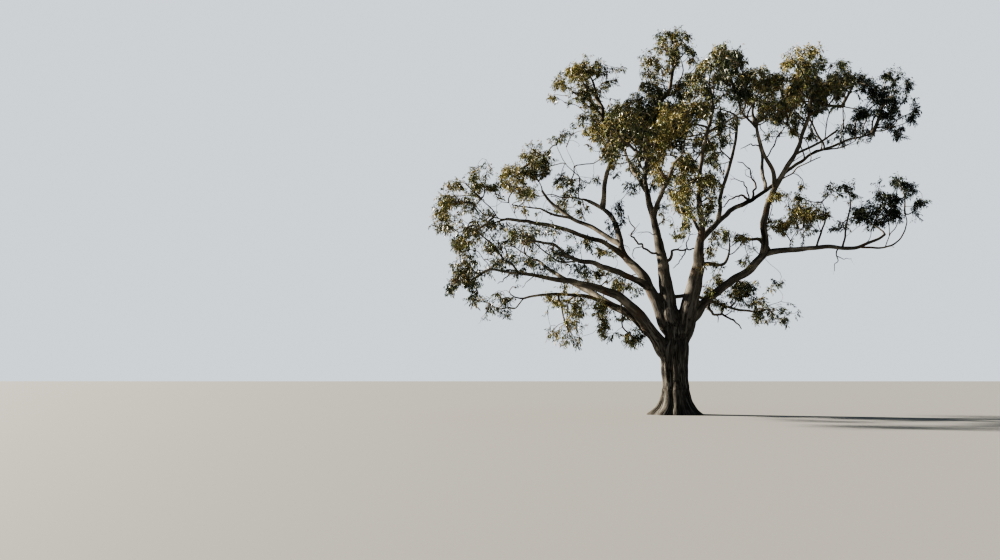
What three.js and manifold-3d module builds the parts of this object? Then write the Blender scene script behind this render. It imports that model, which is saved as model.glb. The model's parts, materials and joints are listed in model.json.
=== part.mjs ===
// A large old gum tree that grew in the open: trunk, boughs and the masses of leaves they carry.
// Millimetres, +Z up. The origin is the middle of the flat cut at ground level, and -Y is the front.
// Every solid is closed and stands clear of its neighbours by a hair, so none overlaps another.
import * as THREE from 'three';
import { mergeVertices } from 'three/addons/utils/BufferGeometryUtils.js';
import Module from 'manifold-3d';

const wasm = await Module();
wasm.setup();

// A tree is measured in metres, so places and diameters are given in metres and scaled here.
const METRE = 1000;
// Clearance between solids that touch, in millimetres, and how near two vertices are one.
const GAP = 0.55;
const SAME_PLACE = 1e-4;
// How near a share of a length must come to 0 or 1 to be the end itself.
const END = 1e-6;

// The trunk, from the ground to the top of its fork. It is round to `forkFrom`, swells until
// `forkFull` where the limbs begin, and closes in from `topFrom`. The flare at its foot dies away
// over `flareHeight`, in buttresses whose ridges stand out by `rootDepth` of it and are unevenly
// spaced by `rootStray`. Its levels lie closer together low down, as `lowCrowding` rises above 1.
const TRUNK = {
  height: 3.55,
  shaftRadius: 0.555,
  forkRadius: 0.63,
  forkFrom: 1.7,
  forkFull: 2.9,
  topRadius: 0.4,
  topFrom: 3,
  depthShare: 0.92,
  flareReach: 0.62,
  flareHeight: 0.42,
  roots: 6,
  rootDepth: 0.3,
  rootStray: 0.6,
  lean: [[0, 0, 0], [-0.03, 0, 1.2], [-0.06, 0, 2.2], [0.07, 0, 3.55]],
  sides: 20,
  levels: 10,
  lowCrowding: 1.5,
};

// Limbs are round tubes with fewer sides as they get thinner, and a ring about every metre.
const RING_SPACING = 1.4;
const FEWEST_RINGS = 4;
const SIDES_BY_DIAMETER = [[0.5, 9], [0.3, 7], [0, 6]];

// Masses are uneven balls of leaves. Each of their swellings stands out, or sinks in where its
// random height is under 0, and falls away faster the larger `narrowness` is. `underside` flattens
// what is below the middle.
const MASS = { swellings: 10, lowest: -0.42, highest: 0.7, narrowness: 5, underside: 0.75 };
// Masses at least this wide, in metres, have finer faces than the small ones.
const WIDE_MASS = 2.7;

const BARK = { color: 0x5b5147, roughness: 0.95, metalness: 0 };
const LIMB_BARK = { color: 0x857463, roughness: 0.9, metalness: 0 };
const LEAVES = {
  golden: { color: 0x8d7a3c, roughness: 0.8, metalness: 0 },
  olive: { color: 0x66682f, roughness: 0.8, metalness: 0 },
  dark: { color: 0x41471f, roughness: 0.8, metalness: 0 },
};

// Each limb is listed after the one it grows from. `route` runs from inside that parent through
// the limb's real bends to its tip, `foot` and `tip` are its diameters there, `fining` above 1
// makes it lose its thickness early, and `into` names the mass of leaves that hides its tip.
const LIMBS = {
  middle_stem: {
    foot: 0.74, tip: 0.1, fining: 1.8, into: 'top_peak',
    route: [[0, 0, 2.7], [-0.2, 0, 4.6], [-0.28, 0.3, 6.6], [-0.72, 0.9, 9.1], [-0.85, 1.3, 11.4],
      [-0.3, 1.4, 14], [0.4, 1.2, 16.2]],
  },
  right_stem: {
    foot: 0.66, tip: 0.14, fining: 1.1, into: 'top_right_peak',
    route: [[0.15, 0, 2.6], [0.6, -0.2, 4.7], [0.95, -0.8, 6.5], [1, -1.5, 7.8], [0.45, -3, 9.4],
      [0.5, -4.2, 10.9], [0.8, -4.8, 12.6]],
  },
  left_bough: {
    foot: 0.7, tip: 0.1, fining: 1.5, into: 'left_tip_low',
    route: [[-0.05, 0, 2.2], [-0.7, -0.1, 3.15], [-1.9, -0.55, 4.6], [-3.3, -1.2, 5.4],
      [-5.4, -2.2, 5.7], [-8.4, -3.7, 5.9]],
  },
  left_under_bough: {
    foot: 0.46, tip: 0.14, fining: 1.2, into: 'left_rear',
    route: [[-1.05, -0.2, 3.5], [-1.9, 0.3, 4.45], [-3.1, 1.5, 5.3], [-4.5, 3, 6.3], [-6.2, 4.6, 7.8]],
  },
  left_droop_bough: {
    foot: 0.2, tip: 0.08, fining: 1, into: 'left_droop',
    route: [[-2.6, 1.1, 5], [-3.4, 1, 5.3], [-5.1, -0.1, 5.3], [-6.2, -0.6, 5.2], [-7.4, -0.9, 4.8]],
  },
  left_stem: {
    foot: 0.6, tip: 0.14, fining: 1.5, into: 'left_shoulder_inner',
    route: [[-0.15, 0.02, 3.7], [-0.72, 0.1, 4.9], [-1.15, 0.5, 6.15], [-2.05, 1.3, 7.4],
      [-2.15, 2, 8.8], [-2.8, 3, 10], [-4.3, 4.2, 10.8]],
  },
  left_front_bough: {
    foot: 0.3, tip: 0.12, fining: 1, into: 'left_front',
    route: [[-0.95, 0.35, 5.75], [-2.3, -0.8, 6.05], [-3.7, -2.3, 6.35], [-5, -3.7, 6.3],
      [-6.4, -5.4, 6.7]],
  },
  left_upper_bough: {
    foot: 0.26, tip: 0.11, fining: 1, into: 'left_tip',
    route: [[-1.85, 1.2, 7.2], [-3.2, 0.8, 7.9], [-4.8, 0, 8.25], [-6.2, -0.8, 8.4], [-8.6, -1.5, 8.5]],
  },
  left_high_bough: {
    foot: 0.24, tip: 0.11, fining: 1, into: 'left_shoulder',
    route: [[-2.12, 1.5, 7.8], [-3.2, 2.2, 8.7], [-4.8, 3, 9.6], [-6, 3.3, 11.4]],
  },
  left_riser: {
    foot: 0.28, tip: 0.12, fining: 1, into: 'top_left',
    route: [[-2.7, 2.85, 9.85], [-2.45, 2.95, 10.4], [-2.65, 2.7, 10.95], [-2.2, 2.1, 11.7],
      [-2.5, 1.5, 12.9], [-3.3, 1, 14.8]],
  },
  right_bough: {
    foot: 0.48, tip: 0.36, fining: 1, into: null,
    route: [[0.45, -0.05, 4], [1, -0.2, 4.75], [1.9, -0.4, 5.5], [3.1, -0.7, 6.25], [4.1, -0.92, 7.25]],
  },
  right_riser: {
    foot: 0.34, tip: 0.13, fining: 1.2, into: 'right_peak',
    route: [[3.98, -0.9, 7], [3.75, -1.1, 8.1], [3.85, -1.2, 9], [4.6, -1.4, 10.4], [5.4, -2.2, 12.2],
      [5.6, -2.8, 14]],
  },
  right_arm: {
    foot: 0.26, tip: 0.09, fining: 1.1, into: 'right_tip_low',
    route: [[3.95, -0.9, 7.05], [5.2, -1.1, 7.12], [6.9, -1, 7.32], [8.7, -0.5, 7.35], [10.2, 0, 8.6]],
  },
  cross_bough: {
    foot: 0.26, tip: 0.09, fining: 1.1, into: 'right_tip_high',
    route: [[0.98, -1.35, 7.6], [1.75, -0.8, 8.35], [3.1, 0.3, 9.4], [4.75, 1.2, 10.35],
      [6.8, 1.9, 12], [8.4, 2.3, 12.8], [11.2, 2.7, 13.8]],
  },
  inner_riser: {
    foot: 0.18, tip: 0.1, fining: 1, into: 'top_right_mid',
    route: [[2, -0.55, 8.55], [1.8, -1.3, 9.1], [1.75, -1.9, 9.6], [2, -2.4, 10.5],
      [2.25, -2.8, 11.4], [2.3, -3, 12.8]],
  },
  crown_riser: {
    foot: 0.2, tip: 0.11, fining: 1, into: 'top_right_mid',
    route: [[4.28, -1.25, 9.85], [4.05, -1.7, 10.5], [3.3, -2.5, 11.3], [2.95, -3.1, 12.9]],
  },
  middle_front_riser: {
    foot: 0.24, tip: 0.12, fining: 1, into: 'top_middle_front',
    route: [[-0.72, 0.85, 8.95], [-0.5, 0, 9.85], [-0.3, -1.2, 10.35], [-0.35, -3.2, 10.9]],
  },
  middle_side_riser: {
    foot: 0.16, tip: 0.09, fining: 1, into: 'front_left',
    route: [[-0.32, -0.95, 10.2], [-0.7, -1.7, 10.4], [-1.4, -3, 10.5], [-2.5, -4.8, 10.7]],
  },
  low_right_bough: {
    foot: 0.2, tip: 0.08, fining: 1, into: 'low_right_tip',
    route: [[-0.15, 0.25, 5.25], [0.6, 0.65, 5.3], [1.5, 1.1, 5.5], [2.3, 1.35, 5.05],
      [3.6, 1.9, 4.75], [4.9, 2.3, 4.6]],
  },
  short_arm: {
    foot: 0.22, tip: 0.1, fining: 1, into: 'right_fork',
    route: [[1, -0.8, 6.6], [1.65, 0, 6.72], [2.5, 0.9, 6.75], [3.1, 1.4, 7.4]],
  },
  rear_left_bough: {
    foot: 0.22, tip: 0.12, fining: 1, into: 'rear_left',
    route: [[-0.82, 1.25, 10.4], [-1, 2.8, 11.4], [-1.1, 4.4, 12.6], [-1.3, 5.9, 14]],
  },
  rear_middle_bough: {
    foot: 0.2, tip: 0.11, fining: 1, into: 'rear_middle',
    route: [[-0.84, 1.3, 11.2], [-0.2, 3.2, 12.2], [0.8, 5, 13.4], [1.9, 6.6, 14.6]],
  },
  rear_right_bough: {
    foot: 0.18, tip: 0.1, fining: 1, into: 'rear_right',
    route: [[4.7, 1.15, 10.3], [5.1, 2.3, 11.4], [5.5, 3.8, 12.8], [5.9, 5.2, 14.2], [6.1, 6, 15.6]],
  },
};

// Each mass of leaves: its middle, its width, depth and height in metres, and a seed for its shape.
const MASSES = {
  left_tip: { at: [-9.1, -1.5, 8.9], size: [3, 3.4, 3.7], seed: 29, leaves: 'golden' },
  left_tip_low: { at: [-8.8, -3.6, 5.7], size: [2.5, 3, 2.1], seed: 94, leaves: 'olive' },
  left_droop: { at: [-8, -0.9, 4.9], size: [2.3, 2.2, 1.4], seed: 13, leaves: 'olive' },
  left_shoulder: { at: [-6.3, 3.4, 12], size: [3, 3.6, 2.8], seed: 118, leaves: 'golden' },
  left_shoulder_inner: { at: [-4, 4.6, 11.1], size: [2.9, 3.4, 2.7], seed: 15, leaves: 'olive' },
  left_small_top: { at: [-4.3, 3.6, 13.2], size: [1.7, 1.7, 1.6], seed: 16, leaves: 'olive' },
  left_middle_top: { at: [-6.4, -0.3, 9.3], size: [2.4, 2.8, 1.9], seed: 45, leaves: 'golden' },
  left_front: { at: [-6.5, -5.6, 6.7], size: [2.4, 3.2, 1.9], seed: 17, leaves: 'olive' },
  left_rear: { at: [-6.7, 5, 8.2], size: [3, 3.6, 2.6], seed: 18, leaves: 'dark' },
  hanging_left: { at: [-4, 0.5, 4.2], size: [3.4, 2.4, 2.3], seed: 121, leaves: 'golden' },
  under_left: { at: [-1.9, -0.7, 3.75], size: [1.2, 1.3, 1.6], seed: 20, leaves: 'olive' },
  inner_left: { at: [-2.4, 1.7, 6], size: [2.2, 1.8, 1.7], seed: 21, leaves: 'olive' },
  top_left: { at: [-3.45, 1, 15.4], size: [3.7, 4, 3.3], seed: 135, leaves: 'golden' },
  top_left_low: { at: [-2.9, 2.6, 13.4], size: [2.6, 3, 2.2], seed: 23, leaves: 'golden' },
  top_peak: { at: [0.25, 1.2, 16.55], size: [3.1, 3.4, 3.6], seed: 10, leaves: 'golden' },
  top_middle: { at: [-0.7, 0.8, 13.5], size: [4.6, 4.6, 2.8], seed: 25, leaves: 'dark' },
  top_middle_front: { at: [-0.5, -3.8, 11.3], size: [2.6, 3.2, 2.6], seed: 26, leaves: 'golden' },
  top_right_peak: { at: [1.05, -4.6, 13.7], size: [2.6, 3.8, 2.9], seed: 141, leaves: 'olive' },
  top_right_mid: { at: [3.2, -3.2, 13.4], size: [2.4, 3.2, 2.4], seed: 6, leaves: 'golden' },
  right_peak: { at: [5.5, -2.8, 14.35], size: [2.7, 4, 2.7], seed: 115, leaves: 'golden' },
  right_shoulder: { at: [8.1, 1.6, 14.65], size: [4.2, 4.2, 3.5], seed: 54, leaves: 'dark' },
  right_tip_high: { at: [11.75, 2.8, 14.8], size: [2.7, 3.6, 3.9], seed: 129, leaves: 'dark' },
  right_inner_top: { at: [5.4, 0.6, 13.6], size: [3, 3.4, 2.2], seed: 32, leaves: 'olive' },
  centre_right: { at: [1.3, -2.8, 11], size: [1.6, 2.6, 3.2], seed: 33, leaves: 'olive' },
  centre_clump: { at: [0.2, -3.6, 8.9], size: [2.3, 2.2, 2.4], seed: 34, leaves: 'golden' },
  right_low_top: { at: [5.2, -1, 8.4], size: [3.2, 2.6, 2.2], seed: 56, leaves: 'golden' },
  right_low_middle: { at: [7.3, -0.8, 8.9], size: [1.8, 2.2, 2.9], seed: 36, leaves: 'olive' },
  right_tip_low: { at: [10.2, 0.2, 9.5], size: [3.5, 3.6, 2.9], seed: 125, leaves: 'dark' },
  right_fork: { at: [3.4, 1.6, 7.8], size: [2.4, 2.4, 1.7], seed: 38, leaves: 'olive' },
  low_right: { at: [3.1, 1.6, 5.6], size: [2.8, 2.4, 2.2], seed: 39, leaves: 'olive' },
  low_right_tip: { at: [5.2, 2.3, 5.2], size: [1.9, 2.2, 2.5], seed: 143, leaves: 'olive' },
  rear_left: { at: [-1.3, 6.4, 14.6], size: [3.8, 4.2, 3.2], seed: 41, leaves: 'olive' },
  rear_right: { at: [6.2, 6.3, 16.2], size: [4.2, 4.4, 3], seed: 42, leaves: 'dark' },
  rear_middle: { at: [2, 6.8, 15.2], size: [4, 4.2, 3.4], seed: 43, leaves: 'olive' },
  rear_low: { at: [1.1, 4.6, 12.2], size: [2.6, 3, 2.4], seed: 46, leaves: 'dark' },
  front_left: { at: [-2.9, -5.2, 10.8], size: [2.8, 3.2, 2.7], seed: 44, leaves: 'golden' },
};

// Repeatable random numbers from 0 to 1.
function seededRandom(seed) {
  let state = Math.imul(seed, 2654435761) >>> 0;
  return () => {
    state = (Math.imul(state, 1664525) + 1013904223) >>> 0;
    return state / 2 ** 32;
  };
}

// A geometry as a solid, with its doubled vertices merged so that it is closed.
function solidFrom(geometry) {
  geometry.deleteAttribute('normal');
  geometry.deleteAttribute('uv');
  const merged = mergeVertices(geometry, SAME_PLACE);
  return new wasm.Manifold(new wasm.Mesh({
    numProp: 3,
    vertProperties: Float32Array.from(merged.attributes.position.array),
    triVerts: Uint32Array.from(merged.index.array),
  }));
}

function geometryFrom(solid) {
  const mesh = solid.getMesh();
  const geometry = new THREE.BufferGeometry();
  geometry.setAttribute('position', new THREE.BufferAttribute(mesh.vertProperties, 3));
  geometry.setIndex(new THREE.BufferAttribute(mesh.triVerts, 1));
  geometry.computeVertexNormals();
  return geometry;
}

// What is left of a solid once its neighbours are cut away: its largest single body.
function cutBy(solid, neighbours) {
  let left = solid;
  for (const neighbour of neighbours) left = left.subtract(neighbour);
  const bodies = left.decompose();
  return bodies.reduce((best, body) => (body.volume() > best.volume() ? body : best));
}

function curveThrough(places) {
  const points = places.map((place) => new THREE.Vector3(...place).multiplyScalar(METRE));
  return new THREE.CatmullRomCurve3(points, false, 'centripetal');
}

// A closed tube along a curve. `radiusAt` gives its radius at a share of the length and an angle,
// and `grow` makes the whole tube that much larger on every side.
function tube(curve, rings, sides, radiusAt, grow) {
  const frames = curve.computeFrenetFrames(rings, false);
  const geometry = new THREE.CylinderGeometry(1, 1, 1, sides, rings);
  const position = geometry.attributes.position;
  const vertex = new THREE.Vector3();
  for (let i = 0; i < position.count; i += 1) {
    vertex.fromBufferAttribute(position, i);
    const share = vertex.y + 0.5;
    const ring = Math.round(share * rings);
    const reach = Math.hypot(vertex.x, vertex.z);
    const angle = Math.atan2(vertex.z, vertex.x);
    const radius = reach * (radiusAt(share, angle) + grow);
    const end = grow * (Number(share > 1 - END) - Number(share < END));
    const place = curve.getPointAt(share)
      .addScaledVector(frames.binormals[ring], radius * Math.cos(angle))
      .addScaledVector(frames.normals[ring], radius * Math.sin(angle))
      .addScaledVector(frames.tangents[ring], end);
    position.setXYZ(i, place.x, place.y, place.z);
  }
  return solidFrom(geometry);
}

// The trunk stands on a flat cut, swells into the fork and spreads into root buttresses.
// Its rings stay level, so the cut at the ground is flat and nothing reaches below it.
function trunkSolid(grow) {
  const axis = curveThrough(TRUNK.lean);
  const geometry = new THREE.CylinderGeometry(1, 1, 1, TRUNK.sides, TRUNK.levels);
  const position = geometry.attributes.position;
  const vertex = new THREE.Vector3();
  for (let i = 0; i < position.count; i += 1) {
    vertex.fromBufferAttribute(position, i);
    const share = (vertex.y + 0.5) ** TRUNK.lowCrowding;
    const height = share * TRUNK.height;
    const angle = Math.atan2(vertex.z, vertex.x);
    const reach = Math.hypot(vertex.x, vertex.z);
    const fork = THREE.MathUtils.smoothstep(height, TRUNK.forkFrom, TRUNK.forkFull);
    const top = THREE.MathUtils.smoothstep(height, TRUNK.topFrom, TRUNK.height);
    const flare = TRUNK.flareReach * Math.exp(-height / TRUNK.flareHeight);
    const turn = TRUNK.roots * angle + TRUNK.rootStray * Math.sin(2 * angle);
    const root = 1 + TRUNK.rootDepth * Math.cos(turn);
    const shaft = THREE.MathUtils.lerp(TRUNK.shaftRadius, TRUNK.forkRadius, fork);
    const radius = THREE.MathUtils.lerp(shaft, TRUNK.topRadius, top) + flare * root;
    const wide = reach * (radius * METRE + grow);
    const middle = axis.getPointAt(share);
    const z = height * METRE + (share > 1 - END ? grow : 0);
    const deep = wide * TRUNK.depthShare;
    position.setXYZ(i, middle.x + wide * Math.cos(angle), middle.y - deep * Math.sin(angle), z);
  }
  return solidFrom(geometry);
}

function limbSolid({ route, foot, tip, fining }, grow) {
  const curve = curveThrough(route);
  const rings = Math.max(FEWEST_RINGS, Math.round(curve.getLength() / METRE / RING_SPACING));
  const sides = SIDES_BY_DIAMETER.find(([above]) => foot >= above)[1];
  const radiusAt = (share) => (tip + (foot - tip) * (1 - share) ** fining) * METRE / 2;
  return tube(curve, rings, sides, radiusAt, grow);
}

// A mass of leaves: a ball that swells and sinks round seeded directions, then takes its true size.
function massSolid({ at, size, seed }, grow) {
  const random = seededRandom(seed);
  const bumps = Array.from({ length: MASS.swellings }, () => ({
    towards: new THREE.Vector3().setFromSphericalCoords(
      1, Math.acos(1 - 2 * random()), 2 * Math.PI * random()),
    height: THREE.MathUtils.lerp(MASS.lowest, MASS.highest, random()),
  }));
  const geometry = new THREE.IcosahedronGeometry(1, size[0] < WIDE_MASS ? 1 : 2);
  const position = geometry.attributes.position;
  const vertex = new THREE.Vector3();
  for (let i = 0; i < position.count; i += 1) {
    vertex.fromBufferAttribute(position, i).normalize();
    const swell = bumps.reduce((sum, bump) => (
      sum + bump.height * Math.exp(-MASS.narrowness * (1 - vertex.dot(bump.towards)))), 1);
    vertex.multiplyScalar(swell);
    if (vertex.z < 0) vertex.z *= MASS.underside;
    position.setXYZ(i, vertex.x, vertex.y, vertex.z);
  }
  geometry.computeBoundingBox();
  const middle = geometry.boundingBox.getCenter(new THREE.Vector3());
  const extent = geometry.boundingBox.getSize(new THREE.Vector3());
  geometry.translate(-middle.x, -middle.y, -middle.z);
  geometry.scale(...size.map((side, axis) => (side * METRE + 2 * grow) / extent.getComponent(axis)));
  geometry.translate(...at.map((place) => place * METRE));
  return solidFrom(geometry);
}

function meshOf(name, solid, look) {
  const mesh = new THREE.Mesh(geometryFrom(solid), new THREE.MeshStandardMaterial(look));
  mesh.name = name;
  return mesh;
}

function buildTree() {
  const tree = new THREE.Group();
  const grownLimbs = [{ name: 'trunk', into: null, solid: trunkSolid(GAP) }];
  tree.add(meshOf('trunk', trunkSolid(0), BARK));

  for (const [name, limb] of Object.entries(LIMBS)) {
    const earlier = grownLimbs.map((grown) => grown.solid);
    const hiding = limb.into ? [massSolid(MASSES[limb.into], GAP)] : [];
    tree.add(meshOf(name, cutBy(limbSolid(limb, 0), [...earlier, ...hiding]), LIMB_BARK));
    grownLimbs.push({ name, into: limb.into, solid: limbSolid(limb, GAP) });
  }

  const grownMasses = [];
  for (const [name, mass] of Object.entries(MASSES)) {
    const passing = grownLimbs.filter((grown) => grown.into !== name).map((grown) => grown.solid);
    tree.add(meshOf(name, cutBy(massSolid(mass, 0), [...passing, ...grownMasses]), LEAVES[mass.leaves]));
    grownMasses.push(massSolid(mass, GAP));
  }
  return tree;
}

export default buildTree();
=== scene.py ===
"""A large old gum tree that grew in the open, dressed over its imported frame.

Everything is in metres with +Z up, the foot of the trunk at the origin and -Y the front. The packed
limbs give the middle lines of the wood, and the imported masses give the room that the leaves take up.
Branches grow from the limbs into that room by a seeded rule, and sprays of leaves hang from them.
"""

import json
import logging
import math
from dataclasses import dataclass, field
from enum import Enum

import bmesh
import bpy
import numpy as np
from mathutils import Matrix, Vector
from mathutils.bvhtree import BVHTree

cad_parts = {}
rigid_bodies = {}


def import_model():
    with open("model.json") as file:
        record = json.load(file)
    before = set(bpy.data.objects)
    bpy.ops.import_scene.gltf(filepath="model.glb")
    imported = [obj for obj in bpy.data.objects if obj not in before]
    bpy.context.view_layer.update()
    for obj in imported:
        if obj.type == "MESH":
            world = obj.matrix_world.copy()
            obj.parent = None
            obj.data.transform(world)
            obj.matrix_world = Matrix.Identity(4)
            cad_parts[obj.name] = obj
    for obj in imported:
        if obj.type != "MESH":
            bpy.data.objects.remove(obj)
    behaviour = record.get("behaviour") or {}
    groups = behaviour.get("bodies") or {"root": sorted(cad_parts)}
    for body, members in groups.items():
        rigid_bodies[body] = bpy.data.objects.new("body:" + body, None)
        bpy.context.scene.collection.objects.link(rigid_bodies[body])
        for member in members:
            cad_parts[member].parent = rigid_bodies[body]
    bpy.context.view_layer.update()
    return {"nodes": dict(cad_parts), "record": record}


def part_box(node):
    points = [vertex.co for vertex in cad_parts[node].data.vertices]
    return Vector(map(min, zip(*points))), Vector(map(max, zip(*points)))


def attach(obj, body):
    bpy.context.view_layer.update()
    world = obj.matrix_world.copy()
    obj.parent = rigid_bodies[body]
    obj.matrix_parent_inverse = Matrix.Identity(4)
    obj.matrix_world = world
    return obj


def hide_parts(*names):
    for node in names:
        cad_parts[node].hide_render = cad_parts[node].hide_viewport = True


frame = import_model()

BODY = "root"
SPARE_ATTRIBUTES = ("girth", "start", "turn", "stretch", "shape")
UP = np.array([0.0, 0.0, 1.0])
TINY = 1e-9

Array = np.ndarray
Values = np.ndarray | float
Dice = np.random.Generator
Pair = tuple[float, float]
Triple = tuple[float, float, float]
Shell = tuple[np.ndarray, np.ndarray]
Piece = bpy.types.Object
Mesh = bpy.types.Mesh
Material = bpy.types.Material
Tree = bpy.types.NodeTree
Socket = bpy.types.NodeSocket

joined = np.concatenate
log = logging.getLogger("gum_tree")


class Slot(Enum):
    """The record's material slots."""

    TRUNK_BARK = "trunk_bark"
    LIMB_BARK = "limb_bark"
    GOLDEN_LEAVES = "golden_leaves"
    OLIVE_LEAVES = "olive_leaves"
    DARK_LEAVES = "dark_leaves"


WOOD_SLOTS = (Slot.TRUNK_BARK, Slot.LIMB_BARK)


def unit(vectors: Array) -> Array:
    """Vectors, x, y and z on the last axis, cut or drawn out to a length of one."""
    length = np.linalg.norm(vectors, axis=-1, keepdims=True)
    return vectors / np.maximum(length, TINY)


def smoothstep(value: Values, low: float, high: float) -> Values:
    """A soft step from 0 where the value is `low` to 1 where it is `high`."""
    share = np.clip((value - low) / (high - low), 0.0, 1.0)
    return share * share * (3 - 2 * share)


def lengths(rows: Array) -> Array:
    """The length of the vector in each row."""
    return np.linalg.norm(rows, axis=1)


def columns(*parts: Array) -> Array:
    """Rows of numbers set side by side as columns."""
    return np.stack(parts, axis=1)


def distances(path: Array) -> Array:
    """How far each place of a line lies from its first place, along the line."""
    return joined([[0.0], np.cumsum(lengths(np.diff(path, axis=0)))])


def eased(rows: Array) -> Array:
    """Rows drawn halfway towards the mean of their neighbours, with the first and the last kept."""
    return joined([rows[:1], 0.5 * rows[1:-1] + 0.25 * (rows[:-2] + rows[2:]), rows[-1:]])


def square_gaps(points: Array, places: Array) -> Array:
    """The square of the distance from each point to each place."""
    return (points**2).sum(1)[:, None] + (places**2).sum(1)[None] - 2 * points @ places.T


def blocks(count: int, size: int) -> list[slice]:
    """Slices of some rows at a time that cover all rows."""
    return [slice(low, low + size) for low in range(0, count, size)]


def dealt(number: Array) -> tuple[Array, Array]:
    """The row of every copy when each row is copied `number` times, and its count within that row."""
    row = np.repeat(np.arange(len(number)), number)
    return row, np.arange(len(row)) - joined([[0], np.cumsum(number)[:-1]])[row]


@dataclass(frozen=True)
class Noise:
    """Repeatable smooth noise over space, from -1 to 1, about one swing for each unit."""

    seed: int
    mixers: tuple[int, ...] = (73856093, 19349663, 83492791, 2654435761)
    scrambler: int = 1540483477

    def _corner(self, cell: Array) -> Array:
        """A random number from -1 to 1 for each corner.

        Args:
            cell: Corners as whole numbers.

        Returns:
            One number for each corner.
        """
        whole = cell.astype(np.int64)
        mixed = self.seed * self.mixers[3]
        for axis in range(3):
            mixed = mixed ^ (whole[..., axis] * self.mixers[axis])
        mixed = mixed & 0xFFFFFFFF
        mixed = ((mixed ^ (mixed >> 13)) * self.scrambler) & 0xFFFFFFFF
        mixed = mixed ^ (mixed >> 15)
        return (mixed & 0xFFFFFF) / 0x7FFFFF - 1.0

    def at(self, places: Array) -> Array:
        """The noise at places.

        Args:
            places: Points, x, y and z on the last axis.

        Returns:
            One number for each point.
        """
        base = np.floor(places)
        blend = smoothstep(places - base, 0.0, 1.0)
        total = np.zeros(places.shape[:-1])
        for corner in np.ndindex(2, 2, 2):
            share = np.prod(np.where(corner, blend, 1 - blend), axis=-1)
            total += share * self._corner(base + np.array(corner))
        return total

    def layered(self, places: Array, layers: int) -> Array:
        """Noise of several sizes added up, the finer the weaker, from about -1 to 1."""
        total = sum(self.at(places * 2.0**k + 17.3 * k) * 0.5**k for k in range(layers))
        return total / (2 - 0.5 ** (layers - 1))

    def drift(self, places: Array) -> Array:
        """Three noises at once, as a vector that wanders smoothly over space."""
        return np.stack([self.at(places + shift) for shift in (0.0, 31.7, 83.1)], axis=-1)


def rows_of(items: bpy.types.bpy_prop_collection, key: str, kind: type = float, wide: int = 3) -> Array:
    """What a mesh's vertices, edges or triangles hold.

    Args:
        items: The vertices, edges or triangles.
        key: What is wanted of them.
        kind: Its kind of number.
        wide: How many numbers each item has.

    Returns:
        One row for each item.
    """
    rows = np.zeros(len(items) * wide, kind)
    items.foreach_get(key, rows)
    return rows.reshape(-1, wide)


def shell_of(piece: Piece) -> Shell:
    """The vertices of a piece, and its triangles as rows of three vertex numbers."""
    piece.data.calc_loop_triangles()
    return rows_of(piece.data.vertices, "co"), rows_of(piece.data.loop_triangles, "vertices", np.int32)


def solid(shell: Shell) -> BVHTree:
    """A shell that can be asked where a ray hits it or which of its points is nearest."""
    return BVHTree.FromPolygons(*(part.tolist() for part in shell))


def placed(data: bpy.types.ID) -> Piece:
    """A mesh, a light or a camera as an object of its own name, linked into the scene.

    Args:
        data: What the object holds.

    Returns:
        The new object.
    """
    piece = bpy.data.objects.new(data.name, data)
    bpy.context.scene.collection.objects.link(piece)
    return piece


def give_numbers(mesh: Mesh, **numbers: Array) -> None:
    """Stores numbers, whole numbers or vectors on a mesh.

    Args:
        mesh: The mesh that gets them.
        numbers: For each attribute, one row for each vertex.
    """
    for name, rows in numbers.items():
        kind = "INT" if np.issubdtype(rows.dtype, np.integer) else "FLOAT"
        kind, key = ("FLOAT_VECTOR", "vector") if rows.ndim == 2 else (kind, "value")
        attribute = mesh.attributes.new(name, kind, "POINT")
        attribute.data.foreach_set(key, np.ascontiguousarray(rows).reshape(-1))


def loose_points(name: str, places: Array, **numbers: Array) -> Mesh:
    """A mesh of loose vertices.

    Args:
        name: Its name.
        places: The vertices.
        numbers: For each attribute, one row for each vertex.

    Returns:
        The mesh.
    """
    mesh = bpy.data.meshes.new(name)
    mesh.vertices.add(len(places))
    mesh.vertices.foreach_set("co", places.reshape(-1))
    give_numbers(mesh, **numbers)
    return mesh


def plain_result(piece: Piece, name: str) -> Piece:
    """What an object's modifiers make, as a plain mesh that takes the object's place.

    Args:
        piece: The object, which is removed.
        name: The name of the new object.

    Returns:
        The new object.
    """
    mesh = bpy.data.meshes.new_from_object(piece.evaluated_get(bpy.context.evaluated_depsgraph_get()))
    old = piece.data
    bpy.data.objects.remove(piece)
    bpy.data.meshes.remove(old)
    for spare in set(SPARE_ATTRIBUTES) & set(mesh.attributes.keys()):
        mesh.attributes.remove(mesh.attributes[spare])
    mesh.name = name
    return placed(mesh)


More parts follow.
